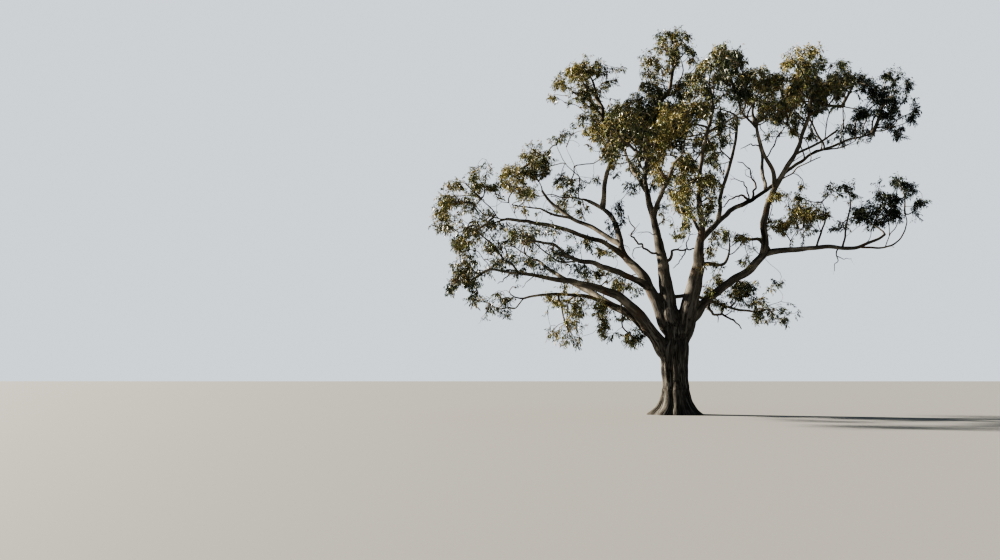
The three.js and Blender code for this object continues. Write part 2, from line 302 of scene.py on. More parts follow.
class NodeMaker:
    """A node tree in the making."""

    def __init__(self, tree: Tree) -> None:
        """Takes over the tree of a group or of a material."""
        self.tree = tree

    def set_sockets(self, inputs: dict[str, str], outputs: dict[str, str]) -> dict[str, str]:
        """Gives a group its sockets.

        Args:
            inputs: The kind of each named input.
            outputs: The kind of each named output.

        Returns:
            The identifier of each input.
        """
        face = self.tree.interface
        names = {}
        for label, kind in inputs.items():
            socket = face.new_socket(label, in_out="INPUT", socket_type="NodeSocket" + kind)
            names[label] = socket.identifier
        for label, kind in outputs.items():
            face.new_socket(label, in_out="OUTPUT", socket_type="NodeSocket" + kind)
        self.given = self.tree.nodes.new("NodeGroupInput").outputs
        self.made = self.tree.nodes.new("NodeGroupOutput").inputs
        return names

    def feed(self, slot: Socket, value: object) -> None:
        """Feeds an input.

        Args:
            slot: The input.
            value: The socket to link to it, or its value, where a colour has three numbers.
        """
        if isinstance(value, Socket):
            self.tree.links.new(value, slot)
        else:
            slot.default_value = (*value, 1.0) if slot.type == "RGBA" else value

    def add(self, kind: str, feeds: dict[str | int, object], **options: object) -> bpy.types.Node:
        """Adds a node.

        Args:
            kind: The node's type.
            feeds: What feeds its inputs.
            options: Its own options.

        Returns:
            The new node.
        """
        node = self.tree.nodes.new(kind)
        for key, value in options.items():
            setattr(node, key, value)
        for label, value in feeds.items():
            self.feed(node.inputs[label], value)
        return node

    def math(self, operation: str, first: object, second: object = 0.0) -> Socket:
        """A sum of two numbers, each a socket or a value."""
        return self.add("ShaderNodeMath", {0: first, 1: second}, operation=operation).outputs[0]


class ShapeTree(NodeMaker):
    """A Geometry Nodes tree in the making, with named inputs."""

    def __init__(self, name: str, inputs: dict[str, str]) -> None:
        """Starts the tree, with the kind of each named input besides its geometry."""
        super().__init__(bpy.data.node_groups.new(name, "GeometryNodeTree"))
        self.names = self.set_sockets({"Geometry": "Geometry", **inputs}, {"Geometry": "Geometry"})

    def attribute(self, name: str, kind: str = "FLOAT") -> Socket:
        """Adds a reader of a named attribute."""
        return self.add("GeometryNodeInputNamedAttribute", {"Name": name}, data_type=kind).outputs[0]

    def stored(self, geometry: Socket, name: str, value: Socket, kind: str = "FLOAT") -> Socket:
        """Stores a value on the points of a shape, as a named attribute."""
        feeds = {"Geometry": geometry, "Name": name, "Value": value}
        return self.add("GeometryNodeStoreNamedAttribute", feeds, data_type=kind, domain="POINT").outputs[0]

    def finish(self, geometry: Socket) -> None:
        """Realizes what was made, gives it its material and ends the tree.

        Args:
            geometry: The shape so far.
        """
        for kind in ("GeometryNodeRealizeInstances", "GeometryNodeSetShadeSmooth"):
            geometry = self.add(kind, {"Geometry": geometry}).outputs[0]
        feeds = {"Geometry": geometry, "Material": self.given["Material"]}
        self.feed(self.made["Geometry"], self.add("GeometryNodeSetMaterial", feeds).outputs[0])

    def run(self, name: str, mesh: Mesh, values: dict[str, object]) -> Piece:
        """Runs the tree on a mesh.

        Args:
            name: The name of the piece that it makes.
            mesh: The mesh, which is used up.
            values: The value of each named input.

        Returns:
            The piece.
        """
        piece = placed(mesh)
        modifier = piece.modifiers.new(self.tree.name, "NODES")
        for label, value in values.items():
            modifier[self.names[label]] = value
        modifier.node_group = self.tree
        return plain_result(piece, name)


class PaintTree(NodeMaker):
    """A shader node tree in the making."""

    def noise(self, vector: Socket, scale: float, detail: float, rough: float) -> Socket:
        """A noise texture: how fine it is, how many sizes it holds and how strong the finer ones are."""
        feeds = {"Vector": vector, "Scale": scale, "Detail": detail, "Roughness": rough}
        return self.add("ShaderNodeTexNoise", feeds).outputs[0]

    def streaks(self, grain: Socket, stretch: Triple, detail: float, rough: float) -> Socket:
        """A noise texture drawn out along the grain."""
        drawn = self.add("ShaderNodeVectorMath", {0: grain, 1: stretch}, operation="MULTIPLY").outputs[0]
        return self.noise(drawn, 1.0, detail, rough)

    def ramp(self, value: Socket, low: float, high: float) -> Socket:
        """A soft step over a value, from 0 at `low` to 1 at `high`."""
        feeds = {0: value, 1: low, 2: high}
        return self.add("ShaderNodeMapRange", feeds, interpolation_type="SMOOTHSTEP").outputs[0]

    def between(self, share: Socket, low: float, high: float) -> Socket:
        """A number that goes from `low` to `high` as the share goes from 0 to 1."""
        return self.add("ShaderNodeMapRange", {0: share, 3: low, 4: high}).outputs[0]

    def shaded(self, colour: Socket, shade: Socket) -> Socket:
        """A colour made lighter or darker."""
        return self.add("ShaderNodeVectorMath", {0: colour, 1: shade}, operation="MULTIPLY").outputs[0]

    def mix(self, share: Socket, first: object, second: object) -> Socket:
        """A mix of two colours, and the share of the second in it."""
        return self.add("ShaderNodeMix", {"Factor": share, 6: first, 7: second}, data_type="RGBA").outputs[2]


@dataclass(frozen=True)
class BarkPattern:
    """Bark as a shader group: furrowed and dark on old wood, smooth and patchy on younger limbs."""

    furrow: Triple = (0.024, 0.021, 0.018)
    ridge: Triple = (0.098, 0.089, 0.077)
    weathered: Triple = (0.235, 0.224, 0.205)
    smooth: Triple = (0.112, 0.102, 0.087)
    pale: Triple = (0.315, 0.283, 0.232)
    rust: Triple = (0.125, 0.082, 0.054)
    stain: Triple = (0.036, 0.031, 0.026)

    def group(self) -> Tree:
        """Builds the group.

        Returns:
            A group that takes the bark's grain, place and age, and puts out its colour, its roughness and
            the height of its relief.
        """
        paint = PaintTree(bpy.data.node_groups.new("bark_pattern", "ShaderNodeTree"))
        taken = {"Grain": "Vector", "Place": "Vector", "Age": "Float"}
        paint.set_sockets(taken, {"Colour": "Color", "Roughness": "Float", "Height": "Float"})
        grain, place, age = (paint.given[label] for label in taken)
        streak = paint.streaks(grain, (6.0, 6.0, 0.5), 4.0, 0.62)
        furrows = paint.streaks(grain, (12.0, 12.0, 1.1), 3.0, 0.5)
        furrow = paint.ramp(paint.math("ABSOLUTE", paint.math("SUBTRACT", furrows, 0.5)), 0.0, 0.06)
        patch = paint.ramp(paint.streaks(grain, (2.6, 2.6, 0.9), 3.0, 0.6), 0.47, 0.64)
        stain = paint.ramp(paint.streaks(grain, (5.0, 5.0, 0.45), 3.0, 0.65), 0.50, 0.66)
        rust = paint.ramp(paint.noise(place, 0.9, 2.0, 0.5), 0.56, 0.70)
        fine = paint.noise(place, 46.0, 3.0, 0.6)
        old = paint.mix(paint.ramp(streak, 0.45, 0.68), self.ridge, self.weathered)
        old = paint.mix(furrow, self.furrow, old)
        young = paint.mix(patch, paint.mix(rust, self.smooth, self.rust), self.pale)
        young = paint.mix(stain, young, self.stain)
        height = paint.math("MULTIPLY", furrow, age)
        height = paint.math("ADD", height, paint.math("MULTIPLY", streak, 0.35))
        height = paint.math("ADD", height, paint.math("MULTIPLY", fine, 0.12))
        colour = paint.shaded(paint.mix(age, young, old), paint.between(fine, 0.72, 1.28))
        paint.feed(paint.made["Colour"], colour)
        paint.feed(paint.made["Roughness"], paint.between(streak, 0.78, 0.98))
        paint.feed(paint.made["Height"], height)
        return paint.tree


def leaf_surface() -> Tree:
    """Builds the group that every leaf material shares.

    Returns:
        A group that takes the place, the tint, its unevenness and the gloss, and puts out the colour and
        the roughness.
    """
    paint = PaintTree(bpy.data.node_groups.new("leaf_surface", "ShaderNodeTree"))
    taken = {"Place": "Vector", "Tint": "Color", "Unevenness": "Float", "Gloss": "Float"}
    paint.set_sockets(taken, {"Colour": "Color", "Roughness": "Float"})
    place, tint, unevenness, gloss = (paint.given[label] for label in taken)
    mottle = paint.math("SUBTRACT", paint.noise(place, 11.0, 2.0, 0.55), 0.5)
    swing = paint.math("MULTIPLY", paint.math("MULTIPLY", mottle, 4.0), unevenness)
    paint.feed(paint.made["Colour"], paint.shaded(tint, paint.math("ADD", swing, 1.0)))
    paint.feed(paint.made["Roughness"], paint.math("ADD", paint.math("MULTIPLY", mottle, 0.3), gloss))
    return paint.tree


class Coat(PaintTree):
    """A material in the making, whose colour and roughness come from a shared pattern."""

    def __init__(self, name: str, pattern: Tree, specular: float) -> None:
        """Starts the material.

        Args:
            name: Its name.
            pattern: The pattern's group.
            specular: How strongly it mirrors the light.
        """
        self.material = bpy.data.materials.new(name)
        self.material.use_nodes = True
        super().__init__(self.material.node_tree)
        self.shader = self.tree.nodes["Principled BSDF"].inputs
        place = self.add("ShaderNodeTexCoord", {}).outputs["Object"]
        self.pattern = self.add("ShaderNodeGroup", {"Place": place}, node_tree=pattern)
        self.feed(self.shader["Base Color"], self.pattern.outputs["Colour"])
        self.feed(self.shader["Roughness"], self.pattern.outputs["Roughness"])
        self.feed(self.shader["Specular IOR Level"], specular)


@dataclass(frozen=True)
class BarkFinish:
    """The bark of one kind of wood."""

    name: str
    relief: float
    specular: float = 0.25

    def material(self, pattern: Tree) -> Material:
        """Builds the material.

        Args:
            pattern: The bark pattern's group.

        Returns:
            The material.
        """
        coat = Coat(self.name, pattern, self.specular)
        for label, output in (("Grain", "Vector"), ("Age", "Fac")):
            reader = coat.add("ShaderNodeAttribute", {}, attribute_name=label.lower())
            coat.feed(coat.pattern.inputs[label], reader.outputs[output])
        relief = {"Height": coat.pattern.outputs["Height"], "Strength": 0.9, "Distance": self.relief}
        coat.feed(coat.shader["Normal"], coat.add("ShaderNodeBump", relief).outputs["Normal"])
        return coat.material


@dataclass(frozen=True)
class LeafFinish:
    """Leaves of one tint: a leathery blade, a little uneven in colour and gloss."""

    colour: Triple
    slot: Slot
    gloss: float
    unevenness: float = 0.16
    specular: float = 0.3

    def material(self, name: str, pattern: Tree) -> Material:
        """Builds the material.

        Args:
            name: The material's name.
            pattern: The leaf surface's group.

        Returns:
            The material.
        """
        coat = Coat(name, pattern, self.specular)
        for label, value in (("Tint", self.colour), ("Unevenness", self.unevenness), ("Gloss", self.gloss)):
            coat.feed(coat.pattern.inputs[label], value)
        return coat.material


class Tint(Enum):
    """The tints that are dealt out to the sprays of leaves, from the sunniest to the most shaded. Besides the
    leaves' own colours they hold painted light: the golden tints carry painted sunlight and the two darkest
    tints painted shade.
    """

    # Golden tints: leaf colour with painted sunlight.
    SUNLIT = LeafFinish((0.400, 0.350, 0.175), Slot.GOLDEN_LEAVES, 0.30)
    BRONZE = LeafFinish((0.190, 0.148, 0.064), Slot.GOLDEN_LEAVES, 0.34)
    FRESH = LeafFinish((0.192, 0.215, 0.086), Slot.OLIVE_LEAVES, 0.32)
    OLIVE = LeafFinish((0.096, 0.110, 0.052), Slot.OLIVE_LEAVES, 0.36)
    GREYGREEN = LeafFinish((0.150, 0.168, 0.112), Slot.OLIVE_LEAVES, 0.36)
    # The two darkest tints: dark leaf colour with painted shade.
    DARK = LeafFinish((0.043, 0.060, 0.036), Slot.DARK_LEAVES, 0.36)
    DEEP = LeafFinish((0.022, 0.035, 0.026), Slot.DARK_LEAVES, 0.40)


@dataclass(frozen=True)
class PhotoCamera:
    """The camera at the photograph's viewing angle: a standing eye in front and to the left."""

    place: Triple = (-7.76, -34.57, 1.5)
    pitch_up: float = 7.326
    lens: float = 28.0
    sensor: float = 36.0
    picture: Pair = (1000.0, 560.0)
    far: float = 3000.0

    @property
    def axes(self) -> Array:
        """The camera's right, up and forward directions, one a row."""
        up, out = math.sin(math.radians(self.pitch_up)), math.cos(math.radians(self.pitch_up))
        return np.array([[1, 0, 0], [0, -up, out], [0, out, up]])

    @property
    def focus(self) -> float:
        """The focal length in pixels."""
        return self.lens / self.sensor * self.picture[0]

    @property
    def centre(self) -> Array:
        """The picture's middle, in pixels from its upper left corner."""
        return np.array(self.picture) / 2

    def seen_at(self, places: Array) -> Array:
        """Where the picture shows places, in pixels from its upper left corner."""
        across, up, ahead = ((places - np.array(self.place)) @ self.axes.T).T
        return self.centre + columns(self.focus * across / ahead, -self.focus * up / ahead)

    def places_of(self, pixels: Array, depth: Values) -> Array:
        """The places that the picture shows at pixels.

        Args:
            pixels: The pixels.
            depth: How far behind the foot of the trunk each place lies.

        Returns:
            Points in space.
        """
        off = (pixels - self.centre) * (1, -1)
        sight = joined([off, np.full((len(off), 1), self.focus)], axis=1) @ self.axes
        return np.array(self.place) + sight * ((depth - self.place[1]) / sight[:, 1])[:, None]

    def build(self) -> None:
        """Builds the camera and makes it the scene's."""
        data = bpy.data.cameras.new("photo_camera")
        data.lens = self.lens
        data.clip_end = self.far
        camera = placed(data)
        camera.location = self.place
        camera.rotation_euler = (math.radians(90 + self.pitch_up), 0, 0)
        bpy.context.scene.camera = camera


@dataclass(frozen=True)
class DrawnBranch:
    """A branch as the picture shows it.

    Its way runs over the picture, in pixels, from its foot on its carrier to its tip. Its girth is the
    radius at its foot, and its tip lies `back` metres behind its foot.
    """

    carrier: str
    girth: float
    way: tuple[int, ...]
    back: float = 0.0
    taper: float = 0.35

    def limb(self, name: str, carrier: "Limb", camera: PhotoCamera, step: float) -> "Limb":
        """The branch in space.

        Args:
            name: Its name.
            carrier: The limb that carries it.
            camera: The camera that sees it.
            step: How far apart its places lie.

        Returns:
            The branch, starting in the middle of its carrier.
        """
        way = np.array(self.way, float).reshape(-1, 2)
        foot = carrier.path[lengths(camera.seen_at(carrier.path) - way[0]).argmin()]
        gone = distances(way)
        path = camera.places_of(way, foot[1] + self.back * gone / gone[-1])
        path[0] = foot
        return Limb(name, path, np.linspace(self.girth, self.taper * self.girth, len(path))).evened(step)


@dataclass(frozen=True)
class Oval:
    """A part of the picture: its middle and its half sizes, in pixels, and how much painted shade its leaves
    get, below 0 painted sunlight.
    """

    across: float
    down: float
    half_wide: float
    half_high: float
    shade: float = 0.0

    def holds(self, seen: Array) -> Array:
        """Which pixels lie in the oval."""
        off = (seen - (self.across, self.down)) / (self.half_wide, self.half_high)
        return (off**2).sum(1) < 1


@dataclass(frozen=True)
class Fullness:
    """How much of a mass is leaved, how thickly, and how much painted shade darkens its leaves beyond their
    slot, below 0 painted sunlight.
    """

    share: float = 0.72
    thickness: float = 1.0
    shade: float = 0.0


LEAFY_BRANCHES = {
    "low_end": ("left_bough", 0.060, (505, 272, 490, 269, 470, 281, 461, 282, 452, 280), -1.0),
    "low_loop": ("low_end", 0.035, (490, 269, 488, 262, 484, 259, 478, 251, 470, 250), -0.6),
    "low_rise": ("left_bough", 0.055, (521, 271, 511, 263, 505, 261, 490, 242, 479, 233, 475, 226), -0.5),
    "low_ring": ("low_rise", 0.024, (505, 262, 501, 249, 506, 242, 513, 241), -0.3),
    "low_thin": ("left_bough", 0.030, (536, 272, 530, 260, 526, 255, 515, 247), 0.8),
    "under_end": ("left_under_bough", 0.040, (537, 260, 531, 258, 513, 246, 505, 246), -0.5),
    "front_upper": ("left_front_bough", 0.075, (566, 256, 554, 244, 530, 241, 520, 243), -0.6),
    "front_lower": ("left_front_bough", 0.065, (579, 260, 570, 262, 562, 262, 556, 260, 534, 243), 0.6),
    "upper_rise": ("left_upper_bough", 0.045, (508, 219, 502, 220, 497, 217, 491, 208, 481, 199), -0.6),
    "upper_out": ("left_upper_bough", 0.038, (508, 219, 500, 219, 482, 213, 473, 203), -1.2),
    "upper_thin": ("left_upper_bough", 0.024, (518, 220, 509, 203), 0.4),
    "high_out": ("left_high_bough", 0.070, (571, 222, 550, 214, 542, 209, 512, 205), -1.2),
    "high_tip": ("left_high_bough", 0.040, (542, 190, 540, 182, 530, 172, 527, 165), 0.3),
    "stem_out": ("left_stem", 0.050, (587, 200, 574, 197, 566, 198, 560, 197, 552, 194, 538, 196), 0.6),
    "stem_sprig": ("left_stem", 0.028, (616, 222, 619, 217, 618, 211, 622, 206, 621, 200), -0.3),
    "droop_end": ("left_droop_bough", 0.045, (523, 298, 515, 309, 507, 308, 499, 309, 490, 305), -0.3),
    "under_twig": ("left_front_bough", 0.022, (590, 264, 597, 281, 603, 287), -0.2),
    "front_twig": ("left_front_bough", 0.024, (583, 261, 580, 249, 583, 243), 0.2),
    "thin_fork": ("stem_out", 0.034, (579, 198, 578, 192, 580, 177, 566, 165, 556, 145), 0.2),
    "thin_fork_side": ("thin_fork", 0.022, (580, 177, 566, 147), 0.3),
    "thin_link": ("left_riser", 0.024, (606, 181, 599, 179, 580, 177), 0.2),
    "middle_left": ("middle_stem", 0.055, (645, 175, 637, 157, 636, 147, 631, 139), 0.3),
    "middle_reach": ("middle_front_riser", 0.060, (672, 176, 680, 162, 685, 140), -0.4),
    "clump_bearer": ("right_stem", 0.095, (701, 236, 691, 215, 674, 191), -0.9),
    "stem_reach": ("right_stem", 0.070, (706, 136, 711, 130, 727, 122, 741, 113), -0.5),
    "stem_reach_low": ("stem_reach", 0.035, (711, 130, 728, 129, 734, 126), 0.2),
    "crown_side": ("crown_riser", 0.045, (766, 159, 774, 146, 776, 139, 787, 124), 0.4),
    "crown_left": ("crown_riser", 0.060, (755, 128, 740, 111, 739, 102, 735, 94), -0.6),
    "fan_upper": ("right_riser", 0.070, (797, 154, 821, 142, 838, 129), -0.3),
    "fan_middle": ("cross_bough", 0.050, (809, 156, 816, 150, 836, 149, 846, 146, 855, 141), -0.5),
    "fan_low": ("cross_bough", 0.060, (779, 183, 792, 174, 796, 168, 820, 157), -0.4),
    "fan_inner": ("right_riser", 0.050, (804, 140, 811, 137, 813, 131, 810, 127, 813, 121, 813, 114), 0.5),
    "fan_post": ("fan_upper", 0.035, (825, 139, 827, 119, 829, 113, 827, 106), 0.2),
    "fan_link": ("fan_middle", 0.030, (838, 149, 842, 138, 841, 128, 845, 118, 843, 106), 0.5),
    "arm_post_1": ("right_arm", 0.035, (789, 250, 790, 243, 797, 228), 0.4),
    "arm_post_1b": ("right_arm", 0.030, (803, 249, 804, 226), -0.4),
    "arm_post_2": ("right_arm", 0.045, (816, 248, 825, 221, 826, 211, 822, 202), 0.3),
    "arm_post_3": ("right_arm", 0.045, (842, 247, 851, 203, 849, 193), -0.3),
    "arm_post_4": ("arm_post_3", 0.022, (845, 236, 860, 225), 0.2),
    "arm_fork": ("right_arm", 0.035, (864, 246, 869, 241, 871, 236, 871, 230, 875, 221), -0.4),
    "arm_hook": ("right_arm", 0.050, (
        860, 246, 870, 248, 884, 248, 893, 245, 900, 239, 905, 231, 907, 223, 905, 214
    ), 0.3),
    "arm_hook_side": ("arm_hook", 0.032, (885, 247, 890, 233, 895, 229, 898, 224, 900, 214), 0.4),
}

DRY_BRANCHES = {
    "curl": ("middle_stem", 0.085, (666, 263, 671, 259, 672, 253, 675, 250, 695, 249), -0.2),
    "curl_down": ("curl", 0.035, (686, 250, 684, 256, 673, 269), -0.1),
    "curl_up": ("curl", 0.030, (687, 250, 686, 243, 688, 237, 693, 234), 0.1),
    "spar": ("middle_stem", 0.055, (656, 256, 645, 249, 631, 235, 635, 230, 627, 216), -0.4),
    "spar_hook": ("spar", 0.025, (641, 247, 635, 248, 632, 256, 635, 260)),
    "left_snag": ("left_bough", 0.032, (512, 274, 498, 284), -0.4),
    "left_snag_side": ("left_bough", 0.026, (521, 274, 516, 275, 515, 278, 511, 279), -0.6),
    "spar_thin": ("middle_stem", 0.022, (652, 236, 647, 233, 641, 232, 636, 233), -0.2),
    "pale_back": ("cross_bough", 0.060, (749, 198, 742, 195, 735, 197, 721, 207), -0.3),
    "pale_up": ("cross_bough", 0.035, (748, 196, 747, 188, 744, 182, 738, 179, 730, 180), -0.2),
    "spiky": ("cross_bough", 0.050, (
        750, 197, 755, 190, 756, 184, 752, 178, 751, 171, 746, 165, 738, 161
    ), -0.3),
    "spiky_side": ("spiky", 0.022, (752, 178, 747, 176, 745, 170), 0.1),
    "hanging": ("right_arm", 0.035, (838, 247, 836, 252, 839, 258, 833, 270), -0.2),
    "hanging_side": ("hanging", 0.022, (838, 256, 844, 259, 852, 259), 0.1),
    "low_dead": ("low_right_bough", 0.070, (700, 316, 712, 314, 724, 315, 735, 321, 741, 328), -0.8),
    "low_dead_side": ("low_dead", 0.028, (724, 316, 737, 310), 0.1),
    "loop_link": ("crown_riser", 0.030, (761, 148, 752, 145, 746, 146, 741, 149), -0.2),
}

SKY_GAPS = (
    (749, 167, 20, 28), (742, 214, 19, 9), (756, 228, 7, 16), (782, 152, 13, 16), (744, 133, 6, 13),
    (813, 177, 24, 9), (822, 126, 9, 13), (849, 101, 8, 10), (556, 316, 8, 8), (760, 128, 8, 7),
    (462, 293, 8, 5), (677, 221, 5, 7), (624, 326, 6, 6), (684, 60, 4, 5), (902, 86, 4, 8),
    (904, 111, 4, 9), (637, 216, 8, 18), (640, 258, 11, 20), (681, 268, 9, 18), (617, 187, 5, 7),
    (576, 158, 15, 20), (592, 166, 8, 14), (592, 191, 8, 8), (634, 74, 7, 18), (626, 90, 4, 10),
    (841, 207, 8, 12), (863, 186, 8, 11), (836, 238, 30, 7), (884, 238, 14, 9), (731, 253, 16, 8),
    (735, 275, 12, 8), (508, 290, 12, 6), (466, 217, 5, 5), (608, 262, 9, 8),
)

# A tuft's fifth number is its painted shade; below 0 it is painted sunlight.
LEAF_TUFTS = {
    "left tip": (
        (458, 184, 9, 6, -0.1), (475, 184, 10, 9, -0.1), (491, 187, 8, 6, -0.1), (482, 171, 12, 7),
        (448, 197, 12, 8), (445, 210, 10, 10, -0.1), (443, 222, 8, 8), (470, 202, 10, 7),
        (470, 230, 11, 7), (462, 243, 9, 7), (463, 262, 10, 12), (482, 270, 7, 5), (464, 281, 20, 6),
        (448, 286, 8, 8), (477, 297, 10, 10), (507, 294, 12, 8), (491, 307, 10, 5), (505, 313, 6, 5),
    ),
    "left fan": (
        (501, 227, 10, 7), (518, 234, 12, 7), (536, 229, 7, 4), (529, 239, 8, 5, -0.2), (550, 250, 6, 3),
        (564, 181, 10, 7), (563, 204, 6, 8), (582, 208, 5, 7, -0.1), (522, 208, 6, 4), (567, 234, 9, 4),
        (597, 243, 13, 7), (598, 254, 11, 7), (608, 226, 5, 9), (619, 206, 10, 10), (622, 224, 7, 6),
        (573, 268, 10, 6), (580, 265, 7, 5), (586, 272, 10, 6), (565, 287, 6, 6), (623, 284, 8, 5),
        (552, 229, 7, 4), (583, 240, 9, 5), (612, 252, 6, 6), (600, 252, 9, 6), (578, 271, 8, 4),
        (571, 193, 6, 6), (576, 250, 7, 5), (565, 253, 7, 5), (495, 246, 9, 5), (508, 240, 7, 4),
        (558, 262, 10, 5), (532, 261, 8, 5), (540, 273, 8, 4), (614, 221, 5, 7), (564, 255, 8, 4),
        (515, 256, 7, 5), (518, 271, 8, 4), (582, 295, 7, 5), (500, 262, 8, 5), (592, 262, 9, 5),
        (604, 270, 9, 6), (616, 281, 8, 6), (636, 288, 7, 5), (611, 229, 7, 10), (595, 180, 6, 7),
        (546, 268, 8, 5),
    ),
    "left shoulder": (
        (512, 177, 14, 13, -0.3), (536, 153, 13, 12), (536, 171, 13, 8, 0.15), (528, 193, 12, 5),
    ),
    "hanging left": (
        (560, 299, 11, 5), (549, 297, 6, 4), (578, 309, 9, 7), (601, 307, 9, 9), (604, 325, 5, 9),
        (607, 334, 7, 5), (570, 322, 13, 6), (558, 331, 7, 4), (623, 318, 7, 7), (633, 336, 9, 9),
    ),
    "top left": (
        (579, 71, 13, 8, -0.3), (596, 66, 14, 6, 0.25), (584, 57, 5, 5), (560, 84, 6, 5, -0.1),
        (553, 95, 4, 4), (612, 82, 11, 5, 0.1), (620, 67, 7, 5), (601, 73, 5, 6), (587, 92, 7, 9),
        (600, 91, 5, 6), (590, 102, 7, 7), (581, 118, 9, 6), (599, 128, 8, 12, -0.1), (558, 137, 9, 6),
        (571, 134, 6, 5), (578, 145, 5, 6), (591, 161, 4, 6),
    ),
    "top peak": (
        (670, 34, 12, 4), (660, 38, 5, 8), (676, 41, 8, 4, -0.2), (685, 34, 4, 4), (683, 49, 9, 6),
        (665, 50, 10, 6), (647, 56, 11, 5, 0.1), (654, 61, 6, 5), (640, 64, 6, 6), (648, 72, 8, 6),
        (673, 58, 6, 6), (691, 57, 4, 6), (668, 70, 4, 4), (643, 87, 4, 9), (657, 89, 6, 11),
    ),
    "top middle": (
        (645, 122, 42, 20), (676, 114, 15, 12), (634, 98, 7, 5), (681, 90, 9, 10), (687, 79, 6, 5),
        (613, 157, 5, 10), (643, 150, 5, 8), (655, 183, 7, 7), (629, 184, 8, 6), (640, 178, 6, 6),
        (607, 150, 5, 6), (615, 177, 5, 6), (594, 110, 6, 8), (600, 119, 6, 9), (586, 128, 6, 5),
        (652, 164, 7, 9), (664, 178, 6, 6), (660, 150, 6, 8), (688, 163, 8, 7), (617, 140, 10, 8),
    ),
    "top right": (
        (702, 66, 9, 7, -0.2), (726, 59, 17, 9), (739, 58, 6, 8), (729, 76, 17, 7, 0.1), (722, 48, 10, 4),
        (700, 81, 9, 9), (705, 100, 14, 15), (750, 73, 9, 7, -0.2), (763, 72, 6, 6), (766, 84, 12, 6, 0.1),
        (777, 76, 8, 5), (744, 90, 9, 9), (753, 98, 6, 5), (768, 104, 9, 6), (776, 118, 6, 6),
        (762, 115, 4, 4), (794, 128, 5, 5), (786, 103, 5, 4), (733, 121, 4, 6), (722, 137, 8, 8),
        (714, 158, 7, 6), (719, 122, 7, 10), (711, 148, 7, 8),
    ),
    "right peak": (
        (789, 58, 10, 6, -0.35), (806, 51, 12, 7, -0.25), (814, 47, 8, 4, -0.25), (821, 53, 5, 8),
        (823, 64, 6, 5, 0.3), (804, 65, 12, 7, 0.2), (785, 65, 5, 5, -0.2), (801, 80, 10, 9, 0.1),
        (794, 94, 10, 8, -0.3), (812, 78, 6, 7), (819, 90, 10, 9, 0.1), (815, 107, 8, 8, 0.2),
        (828, 108, 6, 6), (797, 118, 7, 9),
    ),
    "right shoulder": (
        (842, 66, 6, 5), (859, 71, 9, 6), (841, 78, 13, 8, -0.1), (861, 83, 10, 8, 0.2), (834, 89, 9, 7),
        (875, 92, 7, 9, 0.15), (892, 76, 9, 5, 0.1), (907, 84, 5, 9, 0.15), (886, 111, 13, 11, 0.15),
        (912, 112, 7, 12, 0.15), (903, 101, 11, 4, 0.1), (897, 132, 5, 9, 0.2), (887, 126, 8, 4, 0.2),
        (889, 94, 9, 8), (862, 114, 7, 6), (852, 127, 12, 6, 0.1), (865, 134, 9, 6), (836, 141, 8, 4),
        (812, 131, 5, 5), (893, 72, 8, 5), (902, 80, 7, 6), (845, 96, 6, 5),
    ),
    "right arm": (
        (804, 211, 15, 10, -0.3), (783, 226, 9, 8), (796, 195, 14, 5), (823, 212, 7, 6), (827, 193, 8, 8),
        (846, 184, 10, 5, -0.1), (852, 194, 4, 8), (844, 221, 4, 5), (880, 213, 21, 11, 0.15),
        (896, 199, 10, 7, 0.1), (899, 180, 6, 6), (909, 188, 5, 5), (925, 202, 7, 5), (800, 184, 9, 4),
        (914, 207, 4, 4, 0.2), (882, 195, 6, 5), (777, 193, 8, 5), (836, 184, 9, 7), (840, 198, 6, 7),
        (838, 229, 5, 4), (812, 229, 7, 4), (857, 215, 5, 6),
    ),
    "centre": (
        (681, 193, 9, 17, -0.1), (706, 178, 12, 7, -0.2), (709, 204, 6, 8), (678, 234, 6, 8),
        (687, 230, 8, 9), (664, 213, 8, 9), (636, 168, 6, 10), (668, 222, 5, 7), (688, 207, 6, 7),
        (636, 190, 5, 7),
    ),
    "low right": (
        (719, 234, 8, 4, 0.2), (742, 236, 10, 6, 0.2), (755, 243, 5, 5), (712, 250, 6, 6),
        (703, 262, 6, 7), (721, 264, 6, 5), (745, 262, 7, 4), (715, 268, 6, 5), (717, 280, 6, 6),
        (709, 244, 5, 9), (708, 217, 5, 9), (709, 292, 7, 6), (738, 288, 9, 11), (750, 284, 6, 6),
        (757, 305, 7, 7), (768, 307, 8, 7), (760, 315, 6, 4), (777, 284, 5, 10), (781, 318, 9, 6),
        (763, 321, 8, 4), (722, 303, 6, 5),
    ),
}

